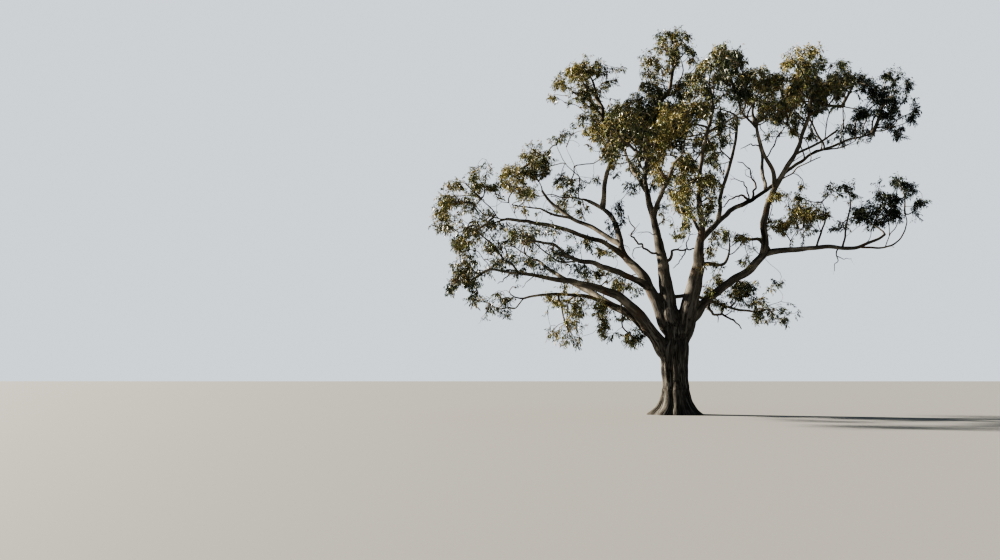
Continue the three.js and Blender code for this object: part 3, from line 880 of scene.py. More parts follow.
# Each row: share leaved, thickness, and painted shade (below 0, painted sunlight).
FULLNESS = {
    "left_tip": (0.55, 1.1), "left_tip_low": (0.41, 0.9), "left_droop": (0.34, 0.75),
    "left_shoulder": (0.51, 1.15), "left_shoulder_inner": (0.28, 0.85), "left_small_top": (0.18, 0.6),
    "left_middle_top": (0.21, 0.65), "left_front": (0.24, 0.7), "left_rear": (0.27, 0.8),
    "hanging_left": (0.56, 1.1), "under_left": (0.53, 1.0), "inner_left": (0.35, 0.8),
    "top_left": (0.5, 1.0), "top_left_low": (0.44, 0.9, -0.1), "top_peak": (0.5, 0.95),
    "top_middle": (0.72, 1.1, -0.3), "top_middle_front": (0.55, 1.05, -0.1),
    "top_right_peak": (0.69, 1.25), "top_right_mid": (0.47, 0.92), "right_peak": (0.58, 1.1),
    "centre_clump": (0.75, 1.3), "right_shoulder": (0.44, 1.1, 0.1), "right_tip_high": (0.44, 1.1, 0.25),
    "right_tip_low": (0.33, 1.1, 0.2), "right_inner_top": (0.18, 0.6), "centre_right": (0.44, 0.88),
    "right_low_top": (0.42, 1.0), "right_low_middle": (0.23, 0.8, 0.1), "right_fork": (0.32, 0.85),
    "low_right": (0.48, 1.0), "low_right_tip": (0.37, 0.9), "rear_left": (0.6, 0.75),
    "rear_right": (0.56, 0.75), "rear_middle": (0.7, 0.85), "rear_low": (0.58, 0.75),
    "front_left": (0.5, 0.75),
}

GAPS = tuple(Oval(*row) for row in SKY_GAPS)
TUFTS = tuple(Oval(*row) for rows in LEAF_TUFTS.values() for row in rows)


def in_sky_gap(camera: PhotoCamera, places: Array) -> Array:
    """Which places lie where the picture shows the sky through the tree."""
    seen = camera.seen_at(places)
    return np.any([gap.holds(seen) for gap in GAPS], axis=0)


def tuft_shade(camera: PhotoCamera, places: Array) -> tuple[Array, Array]:
    """Where the picture shows tufts of leaves.

    Args:
        camera: The camera that sees them.
        places: Points in space.

    Returns:
        Whether each place lies in a tuft, and how much painted shade that tuft gets, below 0 painted
        sunlight.
    """
    seen = camera.seen_at(places)
    inside, shade = np.zeros(len(places), bool), np.zeros(len(places))
    for tuft in TUFTS:
        held = tuft.holds(seen)
        inside |= held
        shade[held] = tuft.shade
    return inside, shade


@dataclass
class Limb:
    """A limb, branch or twig as a middle line with its radius at each place, from its foot to its tip."""

    name: str
    path: Array
    radius: Array
    start: float = 0.0

    @property
    def distance(self) -> Array:
        """How far each place lies from the foot, along the limb."""
        return distances(self.path)

    @property
    def heading(self) -> Array:
        """The direction of growth at each place."""
        return unit(np.gradient(self.path, axis=0))

    def evened(self, step: float) -> "Limb":
        """The same limb with places at even distances.

        Args:
            step: About how far apart they lie.

        Returns:
            The new limb.
        """
        distance = self.distance
        even = np.linspace(0.0, distance[-1], max(3, int(round(distance[-1] / step)) + 1))
        path = columns(*(np.interp(even, distance, column) for column in self.path.T))
        return Limb(self.name, path, np.interp(even, distance, self.radius))

    def softened(self, rounds: int) -> "Limb":
        """The same limb with its corners rounded off and its two ends kept.

        Args:
            rounds: How many times each place moves towards its neighbours.

        Returns:
            The new limb.
        """
        path, radius = self.path, self.radius
        for _ in range(rounds):
            path, radius = eased(path), eased(radius)
        return Limb(self.name, path, radius)

    def sides(self) -> Array:
        """A direction square to the limb at each place, that turns as little as it can.

        Returns:
            One direction for each place.
        """
        heading = self.heading
        rows = [unit(np.cross(heading[0], np.array([0.31, 0.87, 0.23])))]
        for towards in heading[1:]:
            rows.append(unit(rows[-1] - towards * (rows[-1] @ towards)))
        return np.array(rows)


@dataclass
class TubeReader:
    """Finds the middle line and the radius of a packed limb by cutting it across again and again."""

    node: Piece
    step: float = 0.18
    most_steps: int = 400
    least_move: float = 0.3
    first_reach: float = 1.0
    reach: Pair = (2.4, 0.2)
    foot_stub: float = 0.88
    tip_stub: float = 0.80

    def __post_init__(self) -> None:
        """Takes the limb's triangles."""
        self.places, triangles = shell_of(self.node)
        self.corners = self.places[triangles]

    def cut(self, place: Array, along: Array, reach: float) -> tuple[Array, float] | None:
        """Cuts the limb across.

        Args:
            place: A point in the cut.
            along: The direction that the cut is square to.
            reach: How far from the point the cut counts.

        Returns:
            The middle of the cut and its mean radius, or None if nothing is cut there.
        """
        height = (self.corners - place) @ along
        spots, found = [], []
        for first, second in ((0, 1), (1, 2), (2, 0)):
            low, high = height[:, first], height[:, second]
            crossing = (low > 0) != (high > 0)
            share = np.where(crossing, low / np.where(crossing, low - high, 1.0), 0.0)
            edge = self.corners[:, second] - self.corners[:, first]
            spots.append(self.corners[:, first] + share[:, None] * edge)
            found.append(crossing)
        spots, found = np.array(spots), np.array(found)
        rows = np.flatnonzero(found.sum(axis=0) == 2)
        one = spots[np.argmax(found[:, rows], axis=0), rows]
        other = spots[2 - np.argmax(found[::-1, rows], axis=0), rows]
        middle, length = (one + other) / 2, lengths(one - other)
        near = lengths(middle - place) < reach
        total = length[near].sum()
        if total < TINY:
            return None
        return (middle[near] * length[near, None]).sum(axis=0) / total, total / (2 * math.pi)

    def follow(self, start: Array, along: Array) -> tuple[Array, Array]:
        """Cuts the limb step by step until it ends.

        Args:
            start: Where the first cut goes.
            along: The direction to follow at first.

        Returns:
            The middles of the cuts and their radii.
        """
        middles, radii = [], []
        here, reach = start, self.first_reach
        for _ in range(self.most_steps):
            found = self.cut(here, along, reach)
            if found is None:
                break
            middle, radius = found
            if middles:
                moved = middle - middles[-1]
                if np.linalg.norm(moved) < self.least_move * self.step:
                    break
                along = unit(along + unit(moved))
            middles.append(middle)
            radii.append(radius)
            reach = max(self.reach[0] * radius, self.reach[1])
            here = middle + along * self.step
        return np.array(middles), np.array(radii)

    def limb(self) -> Limb:
        """Reads the whole limb.

        Returns:
            The limb, from its thicker end to its thinner one.
        """
        middle = self.places.mean(axis=0)
        spread = np.linalg.svd(self.places - middle, full_matrices=False)[2][0]
        first = self.places[np.argmin((self.places - middle) @ spread)]
        there, _ = self.follow(first + spread * self.step, spread)
        back = unit(there[-2] - there[-1]) if len(there) > 1 else -spread
        turn = there[max(len(there) - 3, 0)]
        path, radius = self.follow(turn, back)
        head, head_radius = self.follow(turn, -back)
        path, radius = joined([head[:0:-1], path]), joined([head_radius[:0:-1], radius])
        whole = self.without_stubs(radius)
        path, radius = path[whole], radius[whole]
        share = max(2, len(radius) // 5)
        if radius[:share].mean() < radius[-share:].mean():
            path, radius = path[::-1], radius[::-1]
        return Limb(self.node.name, path, radius)

    def without_stubs(self, radius: Array) -> slice:
        """Leaves out the ends where a neighbour has cut part of the tube away.

        Args:
            radius: The radii of the cuts.

        Returns:
            The cuts that are left.
        """
        low, high = 0, len(radius) - 1
        while high - low > 4 and radius[low] < self.foot_stub * radius[low + 2]:
            low += 1
        while high - low > 4 and radius[high] < self.tip_stub * radius[high - 2]:
            high -= 1
        return slice(low, high + 1)


@dataclass
class Skeleton:
    """The middle lines of the trunk and of every limb, each joined to the one that carries it."""

    step: float = 0.1
    crook: float = 0.085
    fine_crook: float = 0.03
    root_back: float = 1.15
    root_rounds: int = 6
    limbs: dict[str, Limb] = field(default_factory=dict)
    carrier: dict[str, str] = field(default_factory=dict)
    leaves_at: dict[str, float] = field(default_factory=dict)

    def read(self, nodes: dict[str, Piece], slots: dict[str, Slot]) -> None:
        """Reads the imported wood.

        Args:
            nodes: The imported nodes.
            slots: The slot of each node.
        """
        raw: dict[str, Limb] = {}
        for name, slot in slots.items():
            if slot is Slot.TRUNK_BARK:
                raw[name] = self.trunk_line(nodes[name])
            elif slot is Slot.LIMB_BARK:
                raw[name] = TubeReader(nodes[name]).limb().evened(self.step)
        for name, limb in raw.items():
            if slots[name] is Slot.LIMB_BARK:
                self.carrier[name] = self.nearest(limb.path[0], raw, name)
                limb = self.rooted(limb, raw[self.carrier[name]])
            self.limbs[name] = limb
        for limb in self.limbs.values():
            limb.path = self.crooked(limb.path)

    def draw(self, camera: PhotoCamera) -> None:
        """Adds the leafy branches that the picture shows.

        Args:
            camera: The camera that sees them.
        """
        for name, row in LEAFY_BRANCHES.items():
            branch = DrawnBranch(*row)
            limb = branch.limb(name, self.limbs[branch.carrier], camera, self.step).softened(1)
            limb.path[1:] += Noise(13).drift(limb.path[1:] * 3.0) * self.fine_crook
            self.limbs[name] = limb
            self.carrier[name] = branch.carrier
            self.leaves_at[name] = float(limb.radius[0])

    def trunk_line(self, node: Piece) -> Limb:
        """Reads the trunk, which stands upright, by level cuts.

        Args:
            node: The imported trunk.

        Returns:
            Its middle line.
        """
        reader = TubeReader(node)
        low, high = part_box(node.name)
        levels = np.arange(low.z + 0.02, high.z - 0.05, self.step)
        cuts = [reader.cut(np.array([0.0, 0.0, z]), UP, 5.0) for z in levels]
        return Limb(node.name, *(np.array(column) for column in zip(*cuts)))

    @staticmethod
    def nearest(place: Array, limbs: dict[str, Limb], own: str) -> str:
        """The name of the limb, apart from one's own, whose surface lies nearest to a place."""
        gaps = {name: (lengths(limb.path - place) - limb.radius).min() for name, limb in limbs.items()}
        return min((name for name in gaps if name != own), key=gaps.get)

    def rooted(self, limb: Limb, carrier: Limb) -> Limb:
        """Lengthens a limb's foot into the middle of what carries it.

        Args:
            limb: The limb as it was read.
            carrier: The limb or trunk that it grows from.

        Returns:
            The limb with its root, evened and softened.
        """
        foot = limb.path[0]
        at = lengths(carrier.path - foot).argmin()
        back = int(round(self.root_back * carrier.radius[at] / self.step))
        root = carrier.path[max(at - back, 0)]
        inner = carrier.path[at] * 0.5 + foot * 0.5 - 0.25 * (carrier.path[at] - root)
        path = joined([[root, inner], limb.path])
        radius = joined([[limb.radius[0]] * 2, limb.radius])
        self.leaves_at[limb.name] = float(np.linalg.norm(foot - inner) + np.linalg.norm(inner - root))
        return Limb(limb.name, path, radius).evened(self.step).softened(self.root_rounds)

    def crooked(self, path: Array) -> Array:
        """Bends places a little to and fro, the same way for all limbs at one place.

        Args:
            path: The places.

        Returns:
            The places, moved.
        """
        wide, fine = Noise(11).drift(path * 0.8), Noise(12).drift(path * 2.3)
        bend = wide * self.crook + fine * self.fine_crook
        return path + smoothstep(path[:, 2], 1.0, 5.0)[:, None] * bend

    def samples(self) -> "WoodSamples":
        """Every limb's places in one set of arrays.

        Returns:
            The places.
        """
        rows = []
        for index, limb in enumerate(self.limbs.values()):
            number = np.full(len(limb.path), index)
            rows.append((limb.path, limb.radius, limb.heading, limb.sides(), limb.distance, number))
        return WoodSamples(*(joined(column) for column in zip(*rows)))


@dataclass
class WoodSamples:
    """Places along all limbs."""

    place: Array
    radius: Array
    heading: Array
    side: Array
    distance: Array
    limb: Array
    block: int = 4000
    far: float = 9.0

    def nearest(self, points: Array) -> tuple[Array, Array]:
        """The limb place whose surface lies nearest to each point.

        Args:
            points: The points.

        Returns:
            The number of the nearest place, and the gap to the second nearest limb's surface.
        """
        best, second = np.zeros(len(points), int), np.zeros(len(points))
        for part in blocks(len(points), self.block):
            gap = np.sqrt(np.maximum(square_gaps(points[part], self.place), 0)) - self.radius
            best[part] = gap.argmin(axis=1)
            same = self.limb[None] == self.limb[best[part]][:, None]
            second[part] = np.where(same, self.far, gap).min(axis=1)
        return best, second


@dataclass
class Sweeper:
    """Sweeps limbs into closed tubes by Geometry Nodes, with bark that is old where they are thick."""

    old: float = 0.40
    young: float = 0.10

    def __post_init__(self) -> None:
        """Builds the tree: lines to curves, a round profile along them, and the grain of the bark."""
        kinds = {"Sides": "Int", "Old": "Float", "Young": "Float", "Material": "Material"}
        shape = ShapeTree("sweep_wood", kinds)
        curves = shape.add("GeometryNodeMeshToCurve", {"Mesh": shape.given["Geometry"]}).outputs[0]
        length = shape.add("GeometryNodeSplineParameter", {}).outputs["Length"]
        factor = shape.add("GeometryNodeSplineParameter", {}).outputs["Factor"]
        feeds = {"Resolution": shape.given["Sides"], "Radius": 1.0}
        ring = shape.add("GeometryNodeCurvePrimitiveCircle", feeds)
        girth = shape.attribute("girth")
        feeds = {
            "Curve": shape.stored(curves, "reach", length),
            "Profile Curve": shape.stored(ring.outputs[0], "around", factor),
            "Scale": girth,
            "Fill Caps": True,
        }
        tube = shape.add("GeometryNodeCurveToMesh", feeds).outputs[0]
        turn = shape.math("MULTIPLY", shape.attribute("around"), 2 * math.pi)
        feeds = {
            "X": shape.math("MULTIPLY", shape.math("COSINE", turn), girth),
            "Y": shape.math("MULTIPLY", shape.math("SINE", turn), girth),
            "Z": shape.math("ADD", shape.attribute("reach"), shape.attribute("start")),
        }
        grain = shape.add("ShaderNodeCombineXYZ", feeds).outputs[0]
        bark = shape.stored(tube, "grain", grain, "FLOAT_VECTOR")
        feeds = {"Value": girth, "From Min": shape.given["Young"], "From Max": shape.given["Old"]}
        bark = shape.stored(bark, "age", shape.add("ShaderNodeMapRange", feeds).outputs[0])
        for name in ("reach", "around"):
            bark = shape.add("GeometryNodeRemoveAttribute", {"Geometry": bark, "Name": name}).outputs[0]
        shape.finish(bark)
        self.shape = shape

    def sweep(self, name: str, limbs: list[Limb], sides: int, bark: Material) -> Piece:
        """Sweeps limbs into one piece.

        Args:
            name: The piece's name.
            limbs: The limbs.
            sides: How many sides their tubes have.
            bark: Their bark.

        Returns:
            The piece.
        """
        counts = [len(limb.path) for limb in limbs]
        girth = joined([limb.radius for limb in limbs])
        start = np.repeat([limb.start for limb in limbs], counts)
        mesh = loose_points(name + "_lines", joined([limb.path for limb in limbs]), girth=girth, start=start)
        first = np.setdiff1d(np.arange(len(girth)), np.cumsum(counts) - 1)
        mesh.edges.add(len(first))
        mesh.edges.foreach_set("vertices", columns(first, first + 1).reshape(-1))
        values = {"Sides": sides, "Old": self.old, "Young": self.young, "Material": bark}
        return self.shape.run(name, mesh, values)


@dataclass
class OldWood:
    """The trunk and the thick limbs as one skin, with soft forks, furrows, lumps and root flutes."""

    skeleton: Skeleton
    bark: Material
    thick: float = 0.145
    voxel: float = 0.036
    trunk_sides: int = 96
    core_sides: int = 24
    first_rounds: int = 5
    last_rounds: int = 2
    relax: Pair = (0.52, 0.5)
    fork_reach: Pair = (0.01, 0.14)
    fork_rounds: int = 8
    furrow_height: float = 0.008
    strand_height: float = 0.055
    lump_height: float = 0.060
    level_step: float = 0.05
    sunk: float = 0.12
    collar: float = 0.20
    foot_reach: float = 1.2
    stout: tuple[tuple[str, Pair], ...] = (
        ("middle_stem", (0.30, 0.0)), ("right_stem", (0.42, -0.28)), ("right_bough", (-0.12, 0.0))
    )
    stout_reach: Pair = (1.2, 5.5)
    trunk_rounds: int = 10
    shaft_from: float = 1.2
    fold: float = 0.025
    toes: float = 0.30
    sway: float = 6.0
    shoulder: float = 0.5
    saddle_reach: Pair = (0.25, 0.75)
    saddle_rounds: int = 30
    saddle_calm: float = 0.6
    flutes: tuple[Triple, ...] = (
        (-124.0, 0.190, 15.0), (-84.0, 0.060, 10.0), (-52.0, 0.045, 10.0), (-157.0, 0.050, 10.0),
        (171.0, 0.050, 12.0), (118.0, 0.060, 14.0), (66.0, 0.050, 12.0), (14.0, 0.050, 11.0),
    )

    def is_thick(self, limb: Limb) -> bool:
        """Whether a limb belongs to the old wood."""
        return float(limb.radius[: max(3, len(limb.radius) // 6)].max()) >= self.thick

    def collared(self, limb: Limb, start: float = 0.0) -> Limb:
        """Widens a limb where it leaves its carrier.

        Args:
            limb: The limb.
            start: Where the grain of its bark starts.

        Returns:
            The widened limb.
        """
        leaves = self.skeleton.leaves_at.get(limb.name, 0.0)
        past = np.maximum(limb.distance - leaves, 0.0)
        knots = Noise(21).at(limb.path * 2.1) * 0.07 + Noise(22).at(limb.path * 0.7) * 0.05
        clear = min(int(np.searchsorted(limb.distance, leaves + self.foot_reach)), len(limb.path) - 1)
        radius = limb.radius.copy()
        radius[:clear] = np.minimum(radius[:clear], 1.12 * radius[clear])
        widening = 1 + self.collar * np.exp(-((past / (2.2 * radius[0])) ** 2))
        low, high = dict(self.stout).get(limb.name, (0.0, 0.0))
        stout = smoothstep(past, 0.0, 1.0) * (low + (high - low) * smoothstep(past, *self.stout_reach))
        return Limb(limb.name, limb.path, radius * (widening + stout) * (1 + knots), start)

    def trunk_shell(self, node: Piece) -> Shell:
        """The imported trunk's surface, rounded and fluted.

        Args:
            node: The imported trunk.

        Returns:
            A closed shell that reaches a little below the ground.
        """
        shape, line, sides = solid(shell_of(node)), self.skeleton.limbs[node.name], self.trunk_sides
        top = line.path[-1, 2]
        levels = np.arange(0.03, top, self.level_step)
        angles = np.linspace(0, 2 * math.pi, sides, endpoint=False)
        circle = columns(np.cos(angles), np.sin(angles))
        middle = columns(*(np.interp(levels, line.path[:, 2], line.path[:, axis]) for axis in (0, 1)))
        radius = np.full((len(levels), sides), line.radius[0])
        for row, column in np.ndindex(radius.shape):
            hit = shape.ray_cast(Vector((*middle[row], levels[row])), Vector((*circle[column], 0.0)))
            radius[row, column] = radius[row, column] if hit[0] is None else hit[3]
        for _ in range(self.trunk_rounds):
            radius = 0.5 * radius + 0.25 * (np.roll(radius, 1, axis=1) + np.roll(radius, -1, axis=1))
        shoulder = np.clip(1 - (top - levels) / self.shoulder, 0, 1)
        radius = eased(radius) * np.sqrt(1 - 0.75 * shoulder**2)[:, None]
        ring = joined([circle * 1.7, np.zeros((sides, 1))], axis=1)
        fold = np.stack([Noise(31).at(ring * 1.3 + [0, 0, z * 0.3]) for z in levels])
        toes = np.stack([Noise(32).at(ring * 1.4 + [0, 0, z * 0.2]) for z in levels])
        shaft = np.median(radius[levels > self.shaft_from])
        radius = radius + fold * self.fold + toes * self.toes * np.maximum(radius - shaft, 0)
        for turn, deep, wide in self.flutes:
            place = columns(levels, levels * 0 + turn, levels * 0)
            sway = self.sway * Noise(33).at(place * [0.8, 1, 1])[:, None]
            off = (np.degrees(angles)[None] - turn - sway + 180) % 360 - 180
            swell = 0.75 + 0.35 * Noise(34).at(place)[:, None]
            radius = radius - deep * swell * np.exp(-((off / wide) ** 2))
        levels, middle = joined([[-self.sunk], levels]), joined([middle[:1], middle])
        radius = joined([radius[:1], radius])
        rings = middle[:, None, :] + radius[..., None] * circle[None]
        height = np.broadcast_to(levels[:, None, None], (*radius.shape, 1))
        vertices = joined([rings, height], axis=2).reshape(-1, 3)
        caps = [[*middle[0], levels[0]], [*middle[-1], levels[-1]]]
        here = np.arange(len(vertices)).reshape(-1, sides)
        after = np.roll(here, -1, axis=1)
        near, far = (here[:-1], after[:-1], after[1:]), (here[:-1], after[1:], here[1:])
        walls = columns(np.stack(near, axis=-1), np.stack(far, axis=-1)).reshape(-1, 3)
        bottom = columns(np.full(sides, len(vertices)), after[0], here[0])
        lid = columns(np.full(sides, len(vertices) + 1), here[-1], after[-1])
        return joined([vertices, caps]), joined([walls, bottom, lid])

    def skin(self, shells: list[Shell]) -> Mesh:
        """Joins overlapping closed shells into one skin.

        Args:
            shells: The shells.

        Returns:
            A mesh of even small faces.
        """
        offsets = np.cumsum([0] + [len(vertices) for vertices, _ in shells[:-1]])
        vertices = joined([vertices for vertices, _ in shells])
        faces = joined([faces + offset for (_, faces), offset in zip(shells, offsets)])
        mesh = bpy.data.meshes.new("old_wood_shells")
        mesh.from_pydata(vertices.tolist(), [], faces.tolist())
        piece = placed(mesh)
        remesh = piece.modifiers.new("skin", "REMESH")
        remesh.mode = "VOXEL"
        remesh.voxel_size = self.voxel
        piece = plain_result(piece, "trunk_and_limbs")
        mesh = piece.data
        bpy.data.objects.remove(piece)
        return mesh

    @staticmethod
    def smoothed(places: Array, edges: Array, share: Values, rounds: int, relax: float = 0.0) -> Array:
        """Moves each vertex towards the middle of its neighbours.

        Args:
            places: The vertices.
            edges: Their joins.
            share: How strongly each vertex moves.
            rounds: How many times.
            relax: How strongly each round is taken back, which keeps thin limbs from shrinking.

        Returns:
            The moved vertices.
        """
        count = len(places)
        ends, others = edges.T.reshape(-1), edges[:, ::-1].T.reshape(-1)
        neighbours = np.maximum(np.bincount(ends, minlength=count), 1)[:, None]
        strength = np.broadcast_to(np.asarray(share, float), (count,))[:, None]
        for step in (0.5, -relax) * rounds:
            mean = columns(*(np.bincount(ends, column[others], count) for column in places.T))
            places = places + (mean / neighbours - places) * strength * step
        return places

    def build(self, trunk: Piece) -> None:
        """Builds the old wood.

        Args:
            trunk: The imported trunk.
        """
        sweeper = Sweeper()
        shells = [self.trunk_shell(trunk)]
        limbs = self.skeleton.limbs
        chosen = [limb for limb in limbs.values() if limb.name != trunk.name and self.is_thick(limb)]
        for limb in chosen:
            tube = sweeper.sweep(limb.name + "_core", [self.collared(limb)], self.core_sides, self.bark)
            shells.append(shell_of(tube))
            bpy.data.objects.remove(tube)
        mesh = self.skin(shells)
        places, edges = rows_of(mesh.vertices, "co"), rows_of(mesh.edges, "vertices", np.int32, 2)
        samples = self.skeleton.samples()
        places = self.smoothed(places, edges, 1.0, self.first_rounds, self.relax[0])
        fork = 1 - smoothstep(samples.nearest(places)[1], *self.fork_reach)
        places = self.smoothed(places, edges, fork, self.fork_rounds)
        top = limbs[trunk.name].path[-1, 2]
        saddle = 1 - smoothstep(np.abs(places[:, 2] - top + 0.1), *self.saddle_reach)
        places = self.smoothed(places, edges, saddle, self.saddle_rounds)
        places = self.smoothed(places, edges, 1.0, self.last_rounds, self.relax[1])
        mesh.vertices.foreach_set("co", places.reshape(-1))
        mesh.update()
        grain, age, radius = self.grain(samples, places)
        depth = self.relief(places, grain, age, radius) * (1 - self.saddle_calm * saddle)
        places = places + rows_of(mesh.vertex_normals, "vector") * depth[:, None]
        mesh.vertices.foreach_set("co", places.reshape(-1))
        give_numbers(mesh, grain=grain, age=age)
        self.cut_level(mesh)
        mesh.materials.clear()
        mesh.materials.append(self.bark)
        mesh.shade_smooth()
        piece = placed(mesh)
        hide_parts(trunk.name, *(limb.name for limb in chosen))
        GumTree.dress(piece, Slot.TRUNK_BARK)

    @staticmethod
    def grain(samples: WoodSamples, places: Array) -> tuple[Array, Array, Array]:
        """Where each vertex lies round and along its limb.

        Args:
            samples: The places along all limbs.
            places: The vertices.

        Returns:
            The grain's coordinates, the age of the bark, and the limb's radius there.
        """
        best, _ = samples.nearest(places)
        off = places - samples.place[best]
        along = (off * samples.heading[best]).sum(1)
        side = samples.side[best]
        other = np.cross(samples.heading[best], side)
        angle = np.arctan2((off * other).sum(1), (off * side).sum(1))
        radius = samples.radius[best]
        around = radius * np.cos(angle), radius * np.sin(angle)
        grain = columns(*around, samples.distance[best] + along)
        patchy = Noise(41).layered(places * 0.7, 3) * 0.10
        age = smoothstep(radius + patchy + 0.05 * smoothstep(places[:, 2], 6.0, 1.0), 0.12, 0.42)
        return grain, age, radius

    def relief(self, places: Array, grain: Array, age: Array, radius: Array) -> Array:
        """How far the bark stands out at each vertex.

        Args:
            places: The vertices.
            grain: Their place round and along the limb.
            age: The age of their bark.
            radius: The limb's radius there.

        Returns:
            One height for each vertex.
        """
        furrow = 1 - np.abs(Noise(51).layered(grain * [8.0, 8.0, 1.5], 2)) * 2
        strand = Noise(52).at(grain * [4.2, 4.2, 0.5] + 3.7)
        lump = Noise(53).layered(places * 2.2, 2)
        size = np.clip(radius, 0.05, 0.6)
        bark = furrow * self.furrow_height * age + strand * self.strand_height * size
        return bark + lump * self.lump_height * size

    @staticmethod
    def cut_level(mesh: Mesh) -> None:
        """Cuts the skin off at the ground and closes the cut.

        Args:
            mesh: The skin.
        """
        work = bmesh.new()
        work.from_mesh(mesh)
        every = work.verts[:] + work.edges[:] + work.faces[:]
        ground = {"plane_co": (0, 0, 0), "plane_no": (0, 0, -1)}
        bmesh.ops.bisect_plane(work, geom=every, dist=1e-4, clear_outer=True, **ground)
        bmesh.ops.holes_fill(work, edges=[edge for edge in work.edges if edge.is_boundary], sides=0)
        bmesh.ops.triangulate(work, faces=[face for face in work.faces if len(face.verts) > 4])
        work.to_mesh(mesh)
        work.free()


@dataclass
class LeafRoom:
    """The room that one packed mass of leaves takes up."""

    node: Piece
    slot: Slot

    def __post_init__(self) -> None:
        """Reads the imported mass."""
        shell = shell_of(self.node)
        self.shape = solid(shell)
        self.low, self.high = shell[0].min(axis=0), shell[0].max(axis=0)
        self.middle = (self.low + self.high) / 2
        self.fullness = Fullness(*FULLNESS.get(self.node.name, ()))

    def depth(self, place: Array) -> float:
        """How deep a place lies under the surface, or how far outside, under 0."""
        spot, normal, _, gap = self.shape.find_nearest(Vector(place))
        return gap if (Vector(place) - spot).dot(normal) < 0 else -gap


@dataclass
class Shoots:
    """Everything that grew, as places that each know the place they grew from."""

    place: Array
    parent: Array
    limb_radius: Array
    leads_on: Array

    @property
    def tips(self) -> Array:
        """The places that nothing grew on from, apart from the buds."""
        has_child = np.isin(np.arange(len(self.place)), self.parent)
        return np.flatnonzero(~has_child & (self.parent >= 0))


